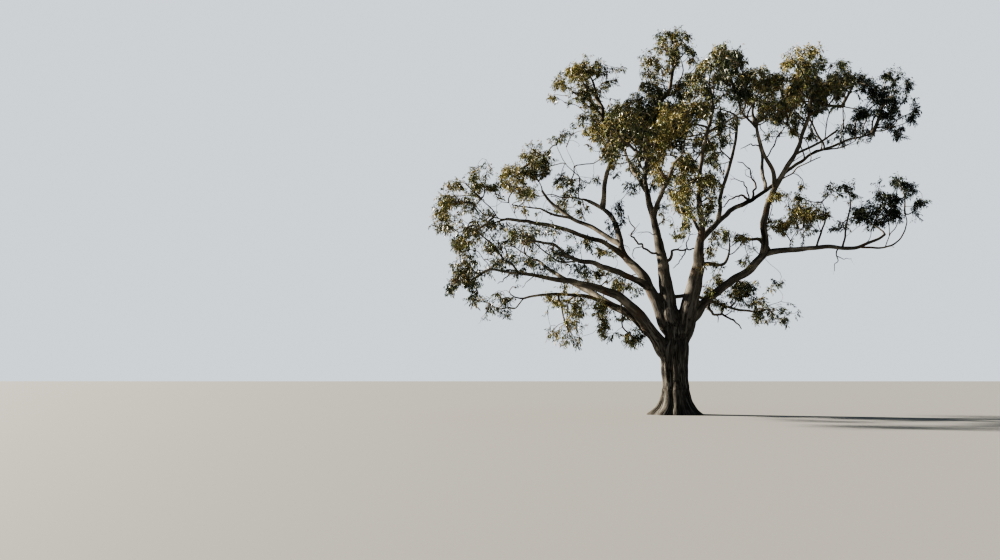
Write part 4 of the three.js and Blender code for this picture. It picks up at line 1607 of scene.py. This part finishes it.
@dataclass
class Growth:
    """The seeded branching rule: every target draws the nearest place towards itself."""

    skeleton: Skeleton
    rooms: list[LeafRoom]
    camera: PhotoCamera
    seed: int = 5
    target_gap: float = 0.345
    stray: float = 0.42
    edge: float = 0.08
    rind: float = 0.45
    core: float = 1.2
    core_share: float = 0.35
    gap_size: float = 0.85
    tufting: float = 0.6
    tuft_draw: float = 0.08
    tuft_deep: float = 0.4
    tuft_fill: float = 0.95
    overlap: float = 0.15
    step: float = 0.18
    kill: float = 0.18
    sight: float = 1.9
    rounds: int = 150
    most_places: int = 90000
    inertia: float = 0.55
    crook: float = 0.70
    crook_size: float = 1.9
    calm: float = 0.25
    rise: float = 0.06
    most_children: int = 3
    first_bud: float = 0.30
    last_bud: float = 0.3
    bud_gap: Pair = (0.9, 1.7)
    pipe: float = 1.85
    tip_girth: float = 0.0090
    run_out: float = 0.9
    block: int = 2000

    def __post_init__(self) -> None:
        """Starts the random numbers."""
        self.dice = np.random.default_rng(self.seed)

    def targets(self) -> tuple[Array, Array]:
        """Fills the rooms and the tufts with places that draw the growth.

        Returns:
            The places, and the number of the room that each belongs to.
        """
        places = [self.room_targets(index) for index in range(len(self.rooms))] + [self.tuft_targets()]
        owners = [np.full(len(part), index) for index, part in enumerate(places[:-1])]
        owners.append(np.array([self.nearest_room(spot) for spot in places[-1]], int))
        return joined(places), joined(owners)

    def tuft_targets(self) -> Array:
        """Places in every tuft that the picture shows, about as deep as the nearest wood.

        Returns:
            The places.
        """
        wood = self.skeleton.samples().place
        seen = self.camera.seen_at(wood)
        spots = []
        for tuft in TUFTS:
            count = max(2, round(tuft.half_wide * tuft.half_high * self.tuft_draw))
            turn = self.dice.uniform(0, 2 * math.pi, count)
            out = self.tuft_fill * np.sqrt(self.dice.random(count))
            across = tuft.across + tuft.half_wide * out * np.cos(turn)
            pixels = columns(across, tuft.down + tuft.half_high * out * np.sin(turn))
            near = np.linalg.norm(seen[None] - pixels[:, None], axis=2).argmin(axis=1)
            depth = wood[near, 1] + self.dice.normal(0.0, self.tuft_deep, count)
            spots.append(self.camera.places_of(pixels, depth))
        return joined(spots)

    def room_targets(self, index: int) -> Array:
        """Places inside a room, with gaps of open air between them and fewer of them at its core.

        Args:
            index: The room's number.

        Returns:
            The places.
        """
        room = self.rooms[index]
        axes = [np.arange(low - 0.1, high + 0.1, self.target_gap) for low, high in zip(room.low, room.high)]
        grid = np.stack(np.meshgrid(*axes, indexing="ij"), axis=-1).reshape(-1, 3)
        grid = grid + self.dice.uniform(-self.stray, self.stray, grid.shape) * self.target_gap
        depth = np.array([room.depth(place) for place in grid])
        grid, depth = grid[depth > -self.edge], depth[depth > -self.edge]
        airy = Noise(62).layered(grid / self.gap_size, 2) + self.tufting * tuft_shade(self.camera, grid)[0]
        leaved = airy >= np.quantile(airy, 1 - room.fullness.share)
        dense = 1 - (1 - self.core_share) * smoothstep(depth, self.rind, self.core)
        keep = leaved & (self.dice.random(len(grid)) < dense) & ~in_sky_gap(self.camera, grid)
        for earlier in self.rooms[:index]:
            near = keep & np.all((grid > earlier.low) & (grid < earlier.high), axis=1)
            for row in np.flatnonzero(near):
                keep[row] = earlier.depth(grid[row]) < self.overlap
        return grid[keep]

    def nearest_room(self, place: Array) -> int:
        """The number of the room whose middle is nearest to a place."""
        gaps = [np.linalg.norm((place - room.middle) / (room.high - room.low)) for room in self.rooms]
        return int(np.argmin(gaps))

    def buds(self) -> tuple[Array, ...]:
        """Places on the limbs where a branch may start.

        Returns:
            The places, the directions of growth there, the limbs' radii, and which are limbs' tips.
        """
        rng = np.random.default_rng(self.seed + 1)
        rows = []
        for name in self.skeleton.carrier:
            limb = self.skeleton.limbs[name]
            distance = limb.distance
            at = self.skeleton.leaves_at[name] + self.first_bud * distance[-1]
            spots = []
            while at < distance[-1] - self.last_bud:
                spots.append(int(np.searchsorted(distance, at)))
                at += rng.uniform(*self.bud_gap)
            for spot in (*spots, -1):
                rows.append((limb.path[spot], limb.heading[spot], limb.radius[spot], spot == -1))
        return tuple(np.array(column) for column in zip(*rows))

    def grow(self, targets: Array) -> Shoots:
        """Lets the branches grow until every target is reached.

        Args:
            targets: The places that draw the growth.

        Returns:
            What grew.
        """
        bud, towards, girth, ends = self.buds()
        room, count = self.most_places, len(bud)
        place, heading = np.zeros((room, 3)), np.zeros((room, 3))
        parent, children = np.full(room, -1), np.zeros(room, int)
        place[:count], heading[:count] = bud, towards
        nearest, gap = self.closest(targets, bud, 0)
        alive = np.ones(len(targets), bool)
        for _ in range(self.rounds):
            live = np.flatnonzero(alive & (gap < self.sight))
            pull = np.zeros((count, 3))
            np.add.at(pull, nearest[live], unit(targets[live] - place[nearest[live]]))
            drawn = np.unique(nearest[live])
            kept = children[drawn] < self.most_children
            alive[live[np.isin(nearest[live], drawn[~kept])]] = False
            drawn = drawn[kept]
            grown = len(drawn)
            if not grown or count + grown > room:
                break
            calm = np.where(children[drawn] > 0, self.calm, 1.0)[:, None]
            wander = Noise(61).drift(place[drawn] * self.crook_size)
            way = unit(pull[drawn]) + calm * self.inertia * heading[drawn]
            way = unit(way + calm * self.crook * wander + self.rise * UP)
            new, rows = place[drawn] + way * self.step, slice(count, count + grown)
            place[rows], heading[rows], parent[rows] = new, way, drawn
            children[drawn] += 1
            live = np.flatnonzero(alive)
            closer, distance = self.closest(targets[live], new, count)
            better = distance < gap[live]
            nearest[live[better]], gap[live[better]] = closer[better], distance[better]
            alive[live[gap[live] < self.kill]] = False
            count += grown
        radii, leads = np.zeros(count), np.zeros(count, bool)
        radii[: len(girth)], leads[: len(ends)] = girth, ends
        return Shoots(place[:count], parent[:count], radii, leads)

    def closest(self, targets: Array, places: Array, offset: int) -> tuple[Array, Array]:
        """The nearest of some places to each target.

        Args:
            targets: The targets.
            places: The places.
            offset: The number of the first place.

        Returns:
            The numbers of the nearest places, and how far they are.
        """
        near, gap = np.zeros(len(targets), int), np.zeros(len(targets))
        for part in blocks(len(targets), self.block):
            square = square_gaps(targets[part], places)
            near[part] = square.argmin(axis=1)
            gap[part] = np.sqrt(np.maximum(square.min(axis=1), 0))
        return near + offset, gap

    def girths(self, shoots: Shoots) -> Array:
        """The radius at each place, from the tips that it carries.

        Args:
            shoots: What grew.

        Returns:
            One radius for each place.
        """
        load = np.zeros(len(shoots.place))
        load[shoots.tips] = self.tip_girth**self.pipe
        for number in range(len(load) - 1, -1, -1):
            above = shoots.parent[number]
            if above >= 0:
                load[above] += load[number]
        return np.maximum(load ** (1 / self.pipe), self.tip_girth)

    def strands(self, shoots: Shoots, girth: Array) -> list[Limb]:
        """Cuts what grew into lines that each run from a fork to a tip.

        Args:
            shoots: What grew.
            girth: The radius at each place.

        Returns:
            The lines, each starting inside the wood that carries it.
        """
        heir = np.full(len(girth), -1)
        for number in np.argsort(girth, kind="stable"):
            if shoots.parent[number] >= 0:
                heir[shoots.parent[number]] = number
        leaders = {heir[number] for number in np.flatnonzero(shoots.leads_on)}
        heir[shoots.parent < 0] = -1
        lines = []
        for number, above in enumerate(shoots.parent):
            if above < 0 or heir[above] == number:
                continue
            run = [above, number]
            while heir[run[-1]] >= 0:
                run.append(heir[run[-1]])
            path, thick, limb = shoots.place[run], girth[run].copy(), shoots.limb_radius[above]
            thick[0] = min(thick[1] * 1.5, max(limb, girth[above]))
            if number in leaders:
                gone = lengths(path - path[0])
                thick = np.maximum(thick, limb * 0.9 * np.exp(-gone / self.run_out))
            lines.append(Limb("branch", path, thick))
        return lines


@dataclass
class DryWood:
    """The bare dead branches that stand out against the sky, and dead shoots all over the limbs."""

    skeleton: Skeleton
    camera: PhotoCamera
    seed: int = 14
    joint: float = 0.13
    kink: float = 0.035
    rounding: int = 2
    spurs: float = 1.5
    spur_girth: float = 0.55
    spur_length: Pair = (0.2, 0.55)
    shoots: int = 60
    shoot_girth: Pair = (0.022, 0.3)
    shoot_length: Pair = (0.5, 1.3)
    bend: float = 0.28
    taper: float = 0.35

    def __post_init__(self) -> None:
        """Starts the random numbers."""
        self.dice = np.random.default_rng(self.seed)

    def strands(self) -> list[Limb]:
        """The dead wood as lines, each branch with spurs of its own.

        Returns:
            The lines.
        """
        lines = []
        drawn = dict(self.skeleton.limbs)
        for name, row in DRY_BRANCHES.items():
            branch = DrawnBranch(*row)
            limb = branch.limb(name, drawn[branch.carrier], self.camera, self.joint)
            kinks = self.dice.normal(0, self.kink, limb.path.shape)
            limb.path = limb.path + kinks * smoothstep(limb.distance, 0, 0.4)[:, None]
            drawn[name] = limb.evened(self.joint / 3).softened(self.rounding)
            lines += self.with_spurs(drawn[name])
        limbs = [self.skeleton.limbs[name] for name in self.skeleton.carrier]
        for _ in range(self.shoots):
            limb = limbs[self.dice.integers(len(limbs))]
            at = int(self.dice.uniform(0.3, 0.95) * (len(limb.path) - 1))
            girth = min(self.shoot_girth[0], self.shoot_girth[1] * limb.radius[at])
            lines += self.with_spurs(self.shoot(limb, at, girth, self.shoot_length))
        return lines

    def with_spurs(self, limb: Limb) -> list[Limb]:
        """A dead branch with its short side shoots.

        Args:
            limb: The branch.

        Returns:
            The branch and its shoots.
        """
        lines = [limb]
        for _ in range(int(self.spurs * limb.distance[-1])):
            at = int(self.dice.uniform(0.35, 1.0) * (len(limb.path) - 1))
            lines.append(self.shoot(limb, at, self.spur_girth * limb.radius[at], self.spur_length))
        return lines

    def shoot(self, carrier: Limb, at: int, girth: float, reach: Pair) -> Limb:
        """One kinked shoot.

        Args:
            carrier: The wood that carries it.
            at: The number of the place on it where the shoot starts.
            girth: Its radius at the foot.
            reach: How short and how long it may be.

        Returns:
            The shoot.
        """
        length = self.dice.uniform(*reach)
        way = unit(unit(carrier.heading[at]) + 1.1 * unit(self.dice.normal(0, 1, 3)))
        places = [carrier.path[at]]
        for _ in range(max(2, int(length / self.joint))):
            places.append(places[-1] + way * self.joint)
            way = unit(way + self.dice.normal(0, self.bend, 3) + 0.05 * UP)
        radius = np.linspace(girth, self.taper * girth, len(places))
        return Limb("shoot", np.array(places), radius).evened(self.joint / 2).softened(self.rounding)


@dataclass(frozen=True)
class LeafShape:
    """One sickle-shaped blade: its foot at the origin, its length along +Y and its face along +Z."""

    name: str
    sickle: float
    width: float
    droop: float

    def mesh(self) -> Mesh:
        """Builds the blade.

        Returns:
            A mesh of three triangles, one long.
        """
        half, tip = self.width / 2, self.sickle
        outline = ((0.0, 0.0), (half, 0.30), (-half, 0.40), (0.62 * half + 0.5 * tip, 0.72), (tip, 1.0))
        mesh = bpy.data.meshes.new(self.name)
        vertices = [(x, y, -self.droop * y * y) for x, y in outline]
        mesh.from_pydata(vertices, [], [(0, 1, 2), (2, 1, 3), (2, 3, 4)])
        return mesh


@dataclass(frozen=True)
class SprayStem:
    """The stem of a spray: a slender closed spike along +Y, one long."""

    thick: float = 0.011

    def mesh(self) -> Mesh:
        """Builds the stem.

        Returns:
            A mesh of four triangles.
        """
        turns = (math.radians(90), math.radians(210), math.radians(330))
        foot = [(self.thick * math.cos(turn), 0.0, self.thick * math.sin(turn)) for turn in turns]
        mesh = bpy.data.meshes.new("stem")
        mesh.from_pydata([*foot, (0.0, 1.0, 0.0)], [], [(0, 1, 2), (1, 0, 3), (2, 1, 3), (0, 2, 3)])
        return mesh


@dataclass
class Sprays:
    """Short stems at the ends of the branches, each with its own run of hanging leaves."""

    rooms: list[LeafRoom]
    camera: PhotoCamera
    count: int = 28500
    seed: int = 8
    stem: Pair = (0.20, 0.38)
    reach_back: float = 2.0
    leaves: tuple[int, int] = (6, 9)
    blade: Pair = (0.105, 0.185)
    droop: float = 0.55
    tuft_size: float = 0.75
    between: float = 0.5
    uneven: float = 0.5
    crowding: float = 1.1
    first_lean: float = 0.35
    lean: Pair = (0.7, 1.6)
    sag: Pair = (0.2, 1.4)
    bare_foot: float = 0.15
    leaf_hang: Pair = (0.2, 1.5)
    leaf_way: Pair = (0.75, 0.5)
    blade_kinds: int = 3
    sun_share: float = 0.32
    own_share: float = 0.20
    chance: float = 0.30
    sun: Triple = (-0.78, 0.35, 0.52)
    # Painted light by slot: sprays of golden masses are dealt lighter tints, and those of dark masses painted
    # shade.
    bias: tuple[tuple[Slot, float], ...] = (
        (Slot.GOLDEN_LEAVES, 0.26), (Slot.OLIVE_LEAVES, 0.0), (Slot.DARK_LEAVES, -0.30)
    )
    order: tuple[Tint, ...] = (
        Tint.DEEP, Tint.DARK, Tint.GREYGREEN, Tint.OLIVE, Tint.BRONZE, Tint.FRESH, Tint.SUNLIT
    )
    limits: tuple[float, ...] = (-0.50, -0.22, -0.02, 0.16, 0.34, 0.52)

    def place_sprays(self, shoots: Shoots, rooms: Array) -> tuple[Array, Array, Array]:
        """Shares the sprays out over the tips.

        Args:
            shoots: What grew.
            rooms: The number of the room that each tip belongs to.

        Returns:
            The foot of each spray, its way to its end, and the number of the tip it belongs to.
        """
        rng = np.random.default_rng(self.seed)
        tips = shoots.tips
        thick = np.array([room.fullness.thickness for room in self.rooms])[rooms]
        tufted, _ = tuft_shade(self.camera, shoots.place[tips])
        share = thick * (1 + self.uneven * Noise(72).at(shoots.place[tips] / self.tuft_size))
        share = share * np.where(tufted, 1.0, self.between)
        owed = np.cumsum(share) * self.count / share.sum()
        row, copy = dealt(np.diff(np.floor(joined([[0.0], owed]))).astype(int))
        below = shoots.parent[tips]
        further = np.where(shoots.parent[below] >= 0, shoots.parent[below], below)
        line = shoots.place[columns(tips, below, further)][row]
        back = np.where(copy == 0, 0.0, self.reach_back * rng.random(len(row)) ** self.crowding)
        low = np.minimum(back.astype(int), 1)
        part = (back - low)[:, None]
        every = np.arange(len(row))
        feet = line[every, low] * (1 - part) + line[every, low + 1] * part
        along = unit(line[:, 0] - line[:, 1] + 1e-6)
        lean = np.where(copy == 0, self.first_lean, rng.uniform(*self.lean, len(row)))[:, None]
        way = unit(along + lean * unit(rng.normal(0, 1, (len(row), 3))))
        way = unit(way - self.droop * UP * rng.uniform(*self.sag, len(row))[:, None])
        way = way * rng.uniform(*self.stem, len(row))[:, None]
        clear = ~in_sky_gap(self.camera, feet + way)
        return feet[clear], way[clear], row[clear]

    def hang_leaves(self, feet: Array, ways: Array) -> tuple[dict[str, Array], Array]:
        """Hangs leaves along the stems.

        Args:
            feet: The stems' feet.
            ways: The way from each foot to its stem's end.

        Returns:
            The place, turn, length and shape of each leaf, and the spray it hangs from.
        """
        rng = np.random.default_rng(self.seed + 2)
        number = rng.integers(self.leaves[0], self.leaves[1] + 1, len(feet))
        spray, index = dealt(number)
        count = len(spray)
        leafy = 1 - self.bare_foot
        share = self.bare_foot + leafy * (index + rng.uniform(0.2, 1.0, count)) / number[spray]
        along = unit(ways[spray])
        around = unit(rng.normal(0, 1, (count, 3)))
        out = unit(around - along * (around * along).sum(1)[:, None])
        hang = rng.uniform(*self.leaf_hang, count)[:, None]
        turn = self.turn(unit(self.leaf_way[0] * out + self.leaf_way[1] * along - hang * UP), rng)
        stretch, shape = rng.uniform(*self.blade, count), rng.integers(0, self.blade_kinds, count)
        places = feet[spray] + ways[spray] * share[:, None]
        return {"places": places, "turn": turn, "stretch": stretch, "shape": shape.astype(np.int32)}, spray

    @staticmethod
    def turn(ways: Array, rng: Dice) -> Array:
        """The angles that turn +Y to each way, rolled at random.

        Args:
            ways: The ways, one long.
            rng: The dice.

        Returns:
            The angles about X, Y and Z.
        """
        face = unit(np.cross(ways, unit(rng.normal(0, 1, ways.shape))))
        wide = np.cross(ways, face)
        x = np.arctan2(ways[:, 2], face[:, 2])
        y = -np.arcsin(np.clip(wide[:, 2], -1, 1))
        z = np.arctan2(wide[:, 1], wide[:, 0])
        return columns(x, y, z)

    def deal_tints(self, feet: Array, rooms: Array) -> Array:
        """Gives each spray its tint, mixed with chance: painted sunlight on the sprays that the sun would
        reach, and painted shade on shaded ones.

        Args:
            feet: The sprays' feet.
            rooms: The number of the room that each belongs to.

        Returns:
            The number of the tint for each spray.
        """
        rng = np.random.default_rng(self.seed + 3)
        middle = np.array([room.middle for room in self.rooms])[rooms]
        half = np.array([(room.high - room.low) / 2 for room in self.rooms])[rooms]
        # Painted light by slot: golden masses are dealt lighter tints and dark masses darker ones.
        kind = np.array([dict(self.bias)[room.slot] for room in self.rooms])[rooms]
        # Painted shade from shaded masses and tufts; below 0 it is painted sunlight.
        shade = np.array([room.fullness.shade for room in self.rooms])[rooms]
        shade = shade + tuft_shade(self.camera, feet)[1]
        # Painted sunlight: sprays on the side of their mass that faces the sun get lighter tints.
        lit = ((feet - middle) / half) @ unit(np.array(self.sun))
        own = Noise(71).at(feet / self.tuft_size)
        chance = rng.normal(0, self.chance, len(feet))
        level = self.sun_share * lit + self.own_share * own + chance + kind - shade
        rank = np.array([list(Tint).index(tint) for tint in self.order])
        return rank[np.searchsorted(self.limits, level)]


@dataclass
class LeafHanger:
    """Turns leaf places into blades by Geometry Nodes."""

    blades: tuple[LeafShape, ...] = (
        LeafShape("blade_right", sickle=0.17, width=0.20, droop=0.10),
        LeafShape("blade_left", sickle=-0.15, width=0.22, droop=0.16),
        LeafShape("blade_broad", sickle=0.05, width=0.26, droop=0.05),
    )
    stem: SprayStem = SprayStem()

    def __post_init__(self) -> None:
        """Builds the blades, the stem and the tree that sets one of them on each place."""
        meshes = [shape.mesh() for shape in (*self.blades, self.stem)]
        self.loose = [bpy.data.objects.new(mesh.name, mesh) for mesh in meshes]
        kinds = {"Material": "Material"} | {loose.name: "Object" for loose in self.loose}
        self.tree = ShapeTree("hang_leaves", kinds)
        join = self.tree.add("GeometryNodeGeometryToInstance", {})
        for loose in reversed(self.loose):
            info = self.tree.add("GeometryNodeObjectInfo", {"Object": self.tree.given[loose.name]})
            self.tree.feed(join.inputs[0], info.outputs["Geometry"])
        angles = self.tree.attribute("turn", "FLOAT_VECTOR")
        turn = self.tree.add("FunctionNodeEulerToRotation", {"Euler": angles})
        feeds = {
            "Points": self.tree.given["Geometry"],
            "Instance": join.outputs[0],
            "Pick Instance": True,
            "Instance Index": self.tree.attribute("shape", "INT"),
            "Rotation": turn.outputs[0],
            "Scale": self.tree.attribute("stretch"),
        }
        self.tree.finish(self.tree.add("GeometryNodeInstanceOnPoints", feeds).outputs[0])

    def hang(self, name: str, leaves: dict[str, Array], material: Material) -> Piece:
        """Makes one piece of leaves or stems, given the place, turn, length and shape of each."""
        values = {"Material": material} | {loose.name: loose for loose in self.loose}
        return self.tree.run(name, loose_points(name + "_places", **leaves), values)

    def clear(self) -> None:
        """Removes the loose blades."""
        for loose in self.loose:
            bpy.data.objects.remove(loose)


@dataclass
class GumTree:
    """The whole tree: old wood, limbs, branches, twigs and leaves."""

    nodes: dict[str, Piece]
    slots: dict[str, Slot]
    camera: PhotoCamera
    trunk_relief: float = 0.022
    limb_relief: float = 0.010
    limb_sides: int = 12
    branch_girth: float = 0.022
    twig_girth: float = 0.011
    most_leaves: int = 64000

    def build(self) -> None:
        """Builds and dresses every piece, from the trunk outwards."""
        pattern = BarkPattern().group()
        trunk_bark = BarkFinish("trunk_bark", self.trunk_relief).material(pattern)
        limb_bark = BarkFinish("limb_bark", self.limb_relief).material(pattern)
        skeleton = Skeleton()
        skeleton.read(self.nodes, self.slots)
        skeleton.draw(self.camera)
        old_wood = OldWood(skeleton, trunk_bark)
        old_wood.build(next(self.nodes[name] for name, slot in self.slots.items() if slot is Slot.TRUNK_BARK))
        self.build_limbs(skeleton, old_wood, limb_bark)
        leafy = [name for name, slot in self.slots.items() if slot not in WOOD_SLOTS]
        rooms = [LeafRoom(self.nodes[name], self.slots[name]) for name in leafy]
        growth = Growth(skeleton, rooms, self.camera)
        places, owners = growth.targets()
        shoots = growth.grow(places)
        strands = growth.strands(shoots, growth.girths(shoots))
        log.info("%d targets, %d places and %d strands", len(places), len(shoots.place), len(strands))
        self.build_twigs(strands + DryWood(skeleton, self.camera).strands(), limb_bark)
        near, _ = growth.closest(shoots.place[shoots.tips], places, 0)
        self.build_leaves(Sprays(rooms, self.camera), shoots, owners[near], limb_bark)

    def build_limbs(self, skeleton: Skeleton, old_wood: OldWood, bark: Material) -> None:
        """Builds the limbs that the old wood leaves out.

        Args:
            skeleton: All limbs.
            old_wood: The old wood, which says what is thick.
            bark: The limbs' bark.
        """
        carried = [skeleton.limbs[name] for name in skeleton.carrier]
        thin = [limb for limb in carried if not old_wood.is_thick(limb)]
        collared = [old_wood.collared(limb, 3.0 * index) for index, limb in enumerate(thin)]
        piece = Sweeper().sweep("young_limbs", collared, self.limb_sides, bark)
        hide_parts(*(limb.name for limb in thin if limb.name in self.nodes))
        self.dress(piece, Slot.LIMB_BARK)

    def build_twigs(self, strands: list[Limb], bark: Material) -> None:
        """Builds the branches and the twigs.

        Args:
            strands: What grew, as lines.
            bark: Their bark.
        """
        sweeper = Sweeper()
        thick = np.array([strand.radius[1] for strand in strands])
        for name, low, high, sides in (
            ("branches", self.branch_girth, 1.0, 7),
            ("twigs", self.twig_girth, self.branch_girth, 5),
            ("fine_twigs", 0.0, self.twig_girth, 3),
        ):
            lines = [strands[number] for number in np.flatnonzero((thick >= low) & (thick < high))]
            self.dress(sweeper.sweep(name, lines, sides, bark), Slot.LIMB_BARK)

    def build_leaves(self, sprays: Sprays, shoots: Shoots, rooms: Array, bark: Material) -> None:
        """Builds the sprays' stems, and their leaves tint by tint.

        Args:
            sprays: The rule of the sprays.
            shoots: What grew.
            rooms: The number of the room that each tip belongs to.
            bark: The bark of the stems.
        """
        hanger = LeafHanger()
        feet, ways, rows = sprays.place_sprays(shoots, rooms)
        turn = sprays.turn(unit(ways), np.random.default_rng(sprays.seed + 4))
        stems = {"places": feet, "turn": turn, "stretch": lengths(ways)}
        stems["shape"] = np.full(len(feet), len(hanger.blades), np.int32)
        self.dress(hanger.hang("spray_stems", stems, bark), Slot.LIMB_BARK)
        leaves, spray = sprays.hang_leaves(feet, ways)
        surface = leaf_surface()
        tint_of_leaf = sprays.deal_tints(feet, rooms[rows])[spray]
        done: set[Slot] = set()
        for index, tint in enumerate(Tint):
            slot, label = tint.value.slot, tint.name.lower()
            material = tint.value.material(label + "_leaf", surface)
            chosen = np.flatnonzero(tint_of_leaf == index)
            parts = max(1, math.ceil(len(chosen) / self.most_leaves))
            for number, part in enumerate(np.array_split(chosen, parts), 1):
                name = f"{label}_leaves" + (f"_{number}" if parts > 1 else "")
                piece = hanger.hang(name, {key: values[part] for key, values in leaves.items()}, material)
                if slot not in done:
                    done.add(slot)
                    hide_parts(*(node for node, own in self.slots.items() if own is slot))
                self.dress(piece, slot)
        hanger.clear()

    @staticmethod
    def dress(piece: Piece, slot: Slot) -> None:
        """Attaches a finished piece to the tree's body, and logs it.

        Args:
            piece: The piece.
            slot: Its material slot; not used.
        """
        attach(piece, BODY)
        piece.data.calc_loop_triangles()
        log.info("%s: %d triangles", piece.name, len(piece.data.loop_triangles))


@dataclass(frozen=True)
class Studio:
    """A plain pale floor, soft light from the left and a pale surround."""

    floor_reach: float = 900.0
    floor_colour: Triple = (0.33, 0.33, 0.32)
    floor_roughness: float = 0.95
    air_colour: Triple = (0.68, 0.84, 1.0)
    air_strength: float = 0.20
    backdrop: Triple = (0.74, 0.80, 0.87)
    key_colour: Triple = (1.0, 0.91, 0.77)
    key_strength: float = 12.0
    key_softness: float = 3.0
    key_elevation: float = 20.0
    key_azimuth: float = 159.0
    look: str = "AgX - High Contrast"

    def build(self) -> None:
        """Builds the floor, the light and the surround."""
        bpy.context.scene.view_settings.look = self.look
        reach = self.floor_reach
        corners = [(-reach, -reach, 0), (reach, -reach, 0), (reach, reach, 0), (-reach, reach, 0)]
        mesh = bpy.data.meshes.new("floor")
        mesh.from_pydata(corners, [], [(0, 1, 2, 3)])
        material = bpy.data.materials.new("floor_paint")
        material.use_nodes = True
        paint = PaintTree(material.node_tree)
        shader = paint.tree.nodes["Principled BSDF"].inputs
        paint.feed(shader["Base Color"], self.floor_colour)
        paint.feed(shader["Roughness"], self.floor_roughness)
        mesh.materials.append(material)
        placed(mesh)
        self.build_key()
        self.build_surround()

    def build_key(self) -> None:
        """Builds the sunlight."""
        lamp = bpy.data.lights.new("key_light", "SUN")
        lamp.energy, lamp.color = self.key_strength, self.key_colour
        lamp.angle = math.radians(self.key_softness)
        high, turn = math.radians(self.key_elevation), math.radians(self.key_azimuth)
        source = Vector((math.cos(turn) * math.cos(high), math.sin(turn) * math.cos(high), math.sin(high)))
        key = placed(lamp)
        key.rotation_mode = "QUATERNION"
        key.rotation_quaternion = (-source).to_track_quat("-Z", "Y")

    def build_surround(self) -> None:
        """Builds the surround: dim as a light, so that shade stays deep, and pale as a backdrop."""
        world = bpy.data.worlds.new("surround")
        world.use_nodes = True
        paint = PaintTree(world.node_tree)
        air = paint.tree.nodes["Background"]
        paint.feed(air.inputs["Color"], self.air_colour)
        paint.feed(air.inputs["Strength"], self.air_strength)
        backdrop = paint.add("ShaderNodeBackground", {"Color": self.backdrop, "Strength": 1.0})
        seen = paint.add("ShaderNodeLightPath", {}).outputs["Is Camera Ray"]
        mix = paint.add("ShaderNodeMixShader", {0: seen, 1: air.outputs[0], 2: backdrop.outputs[0]})
        paint.feed(paint.tree.nodes["World Output"].inputs["Surface"], mix.outputs[0])
        bpy.context.scene.world = world


def main() -> None:
    """Builds the camera, the studio and the tree."""
    logging.basicConfig(level=logging.INFO, format="%(name)s: %(message)s")
    camera = PhotoCamera()
    camera.build()
    Studio().build()
    slots = {row["node"]: Slot(row["material_slot"]) for row in frame["record"]["subparts"]}
    GumTree(dict(frame["nodes"]), slots, camera).build()


if __name__ == "__main__":
    main()
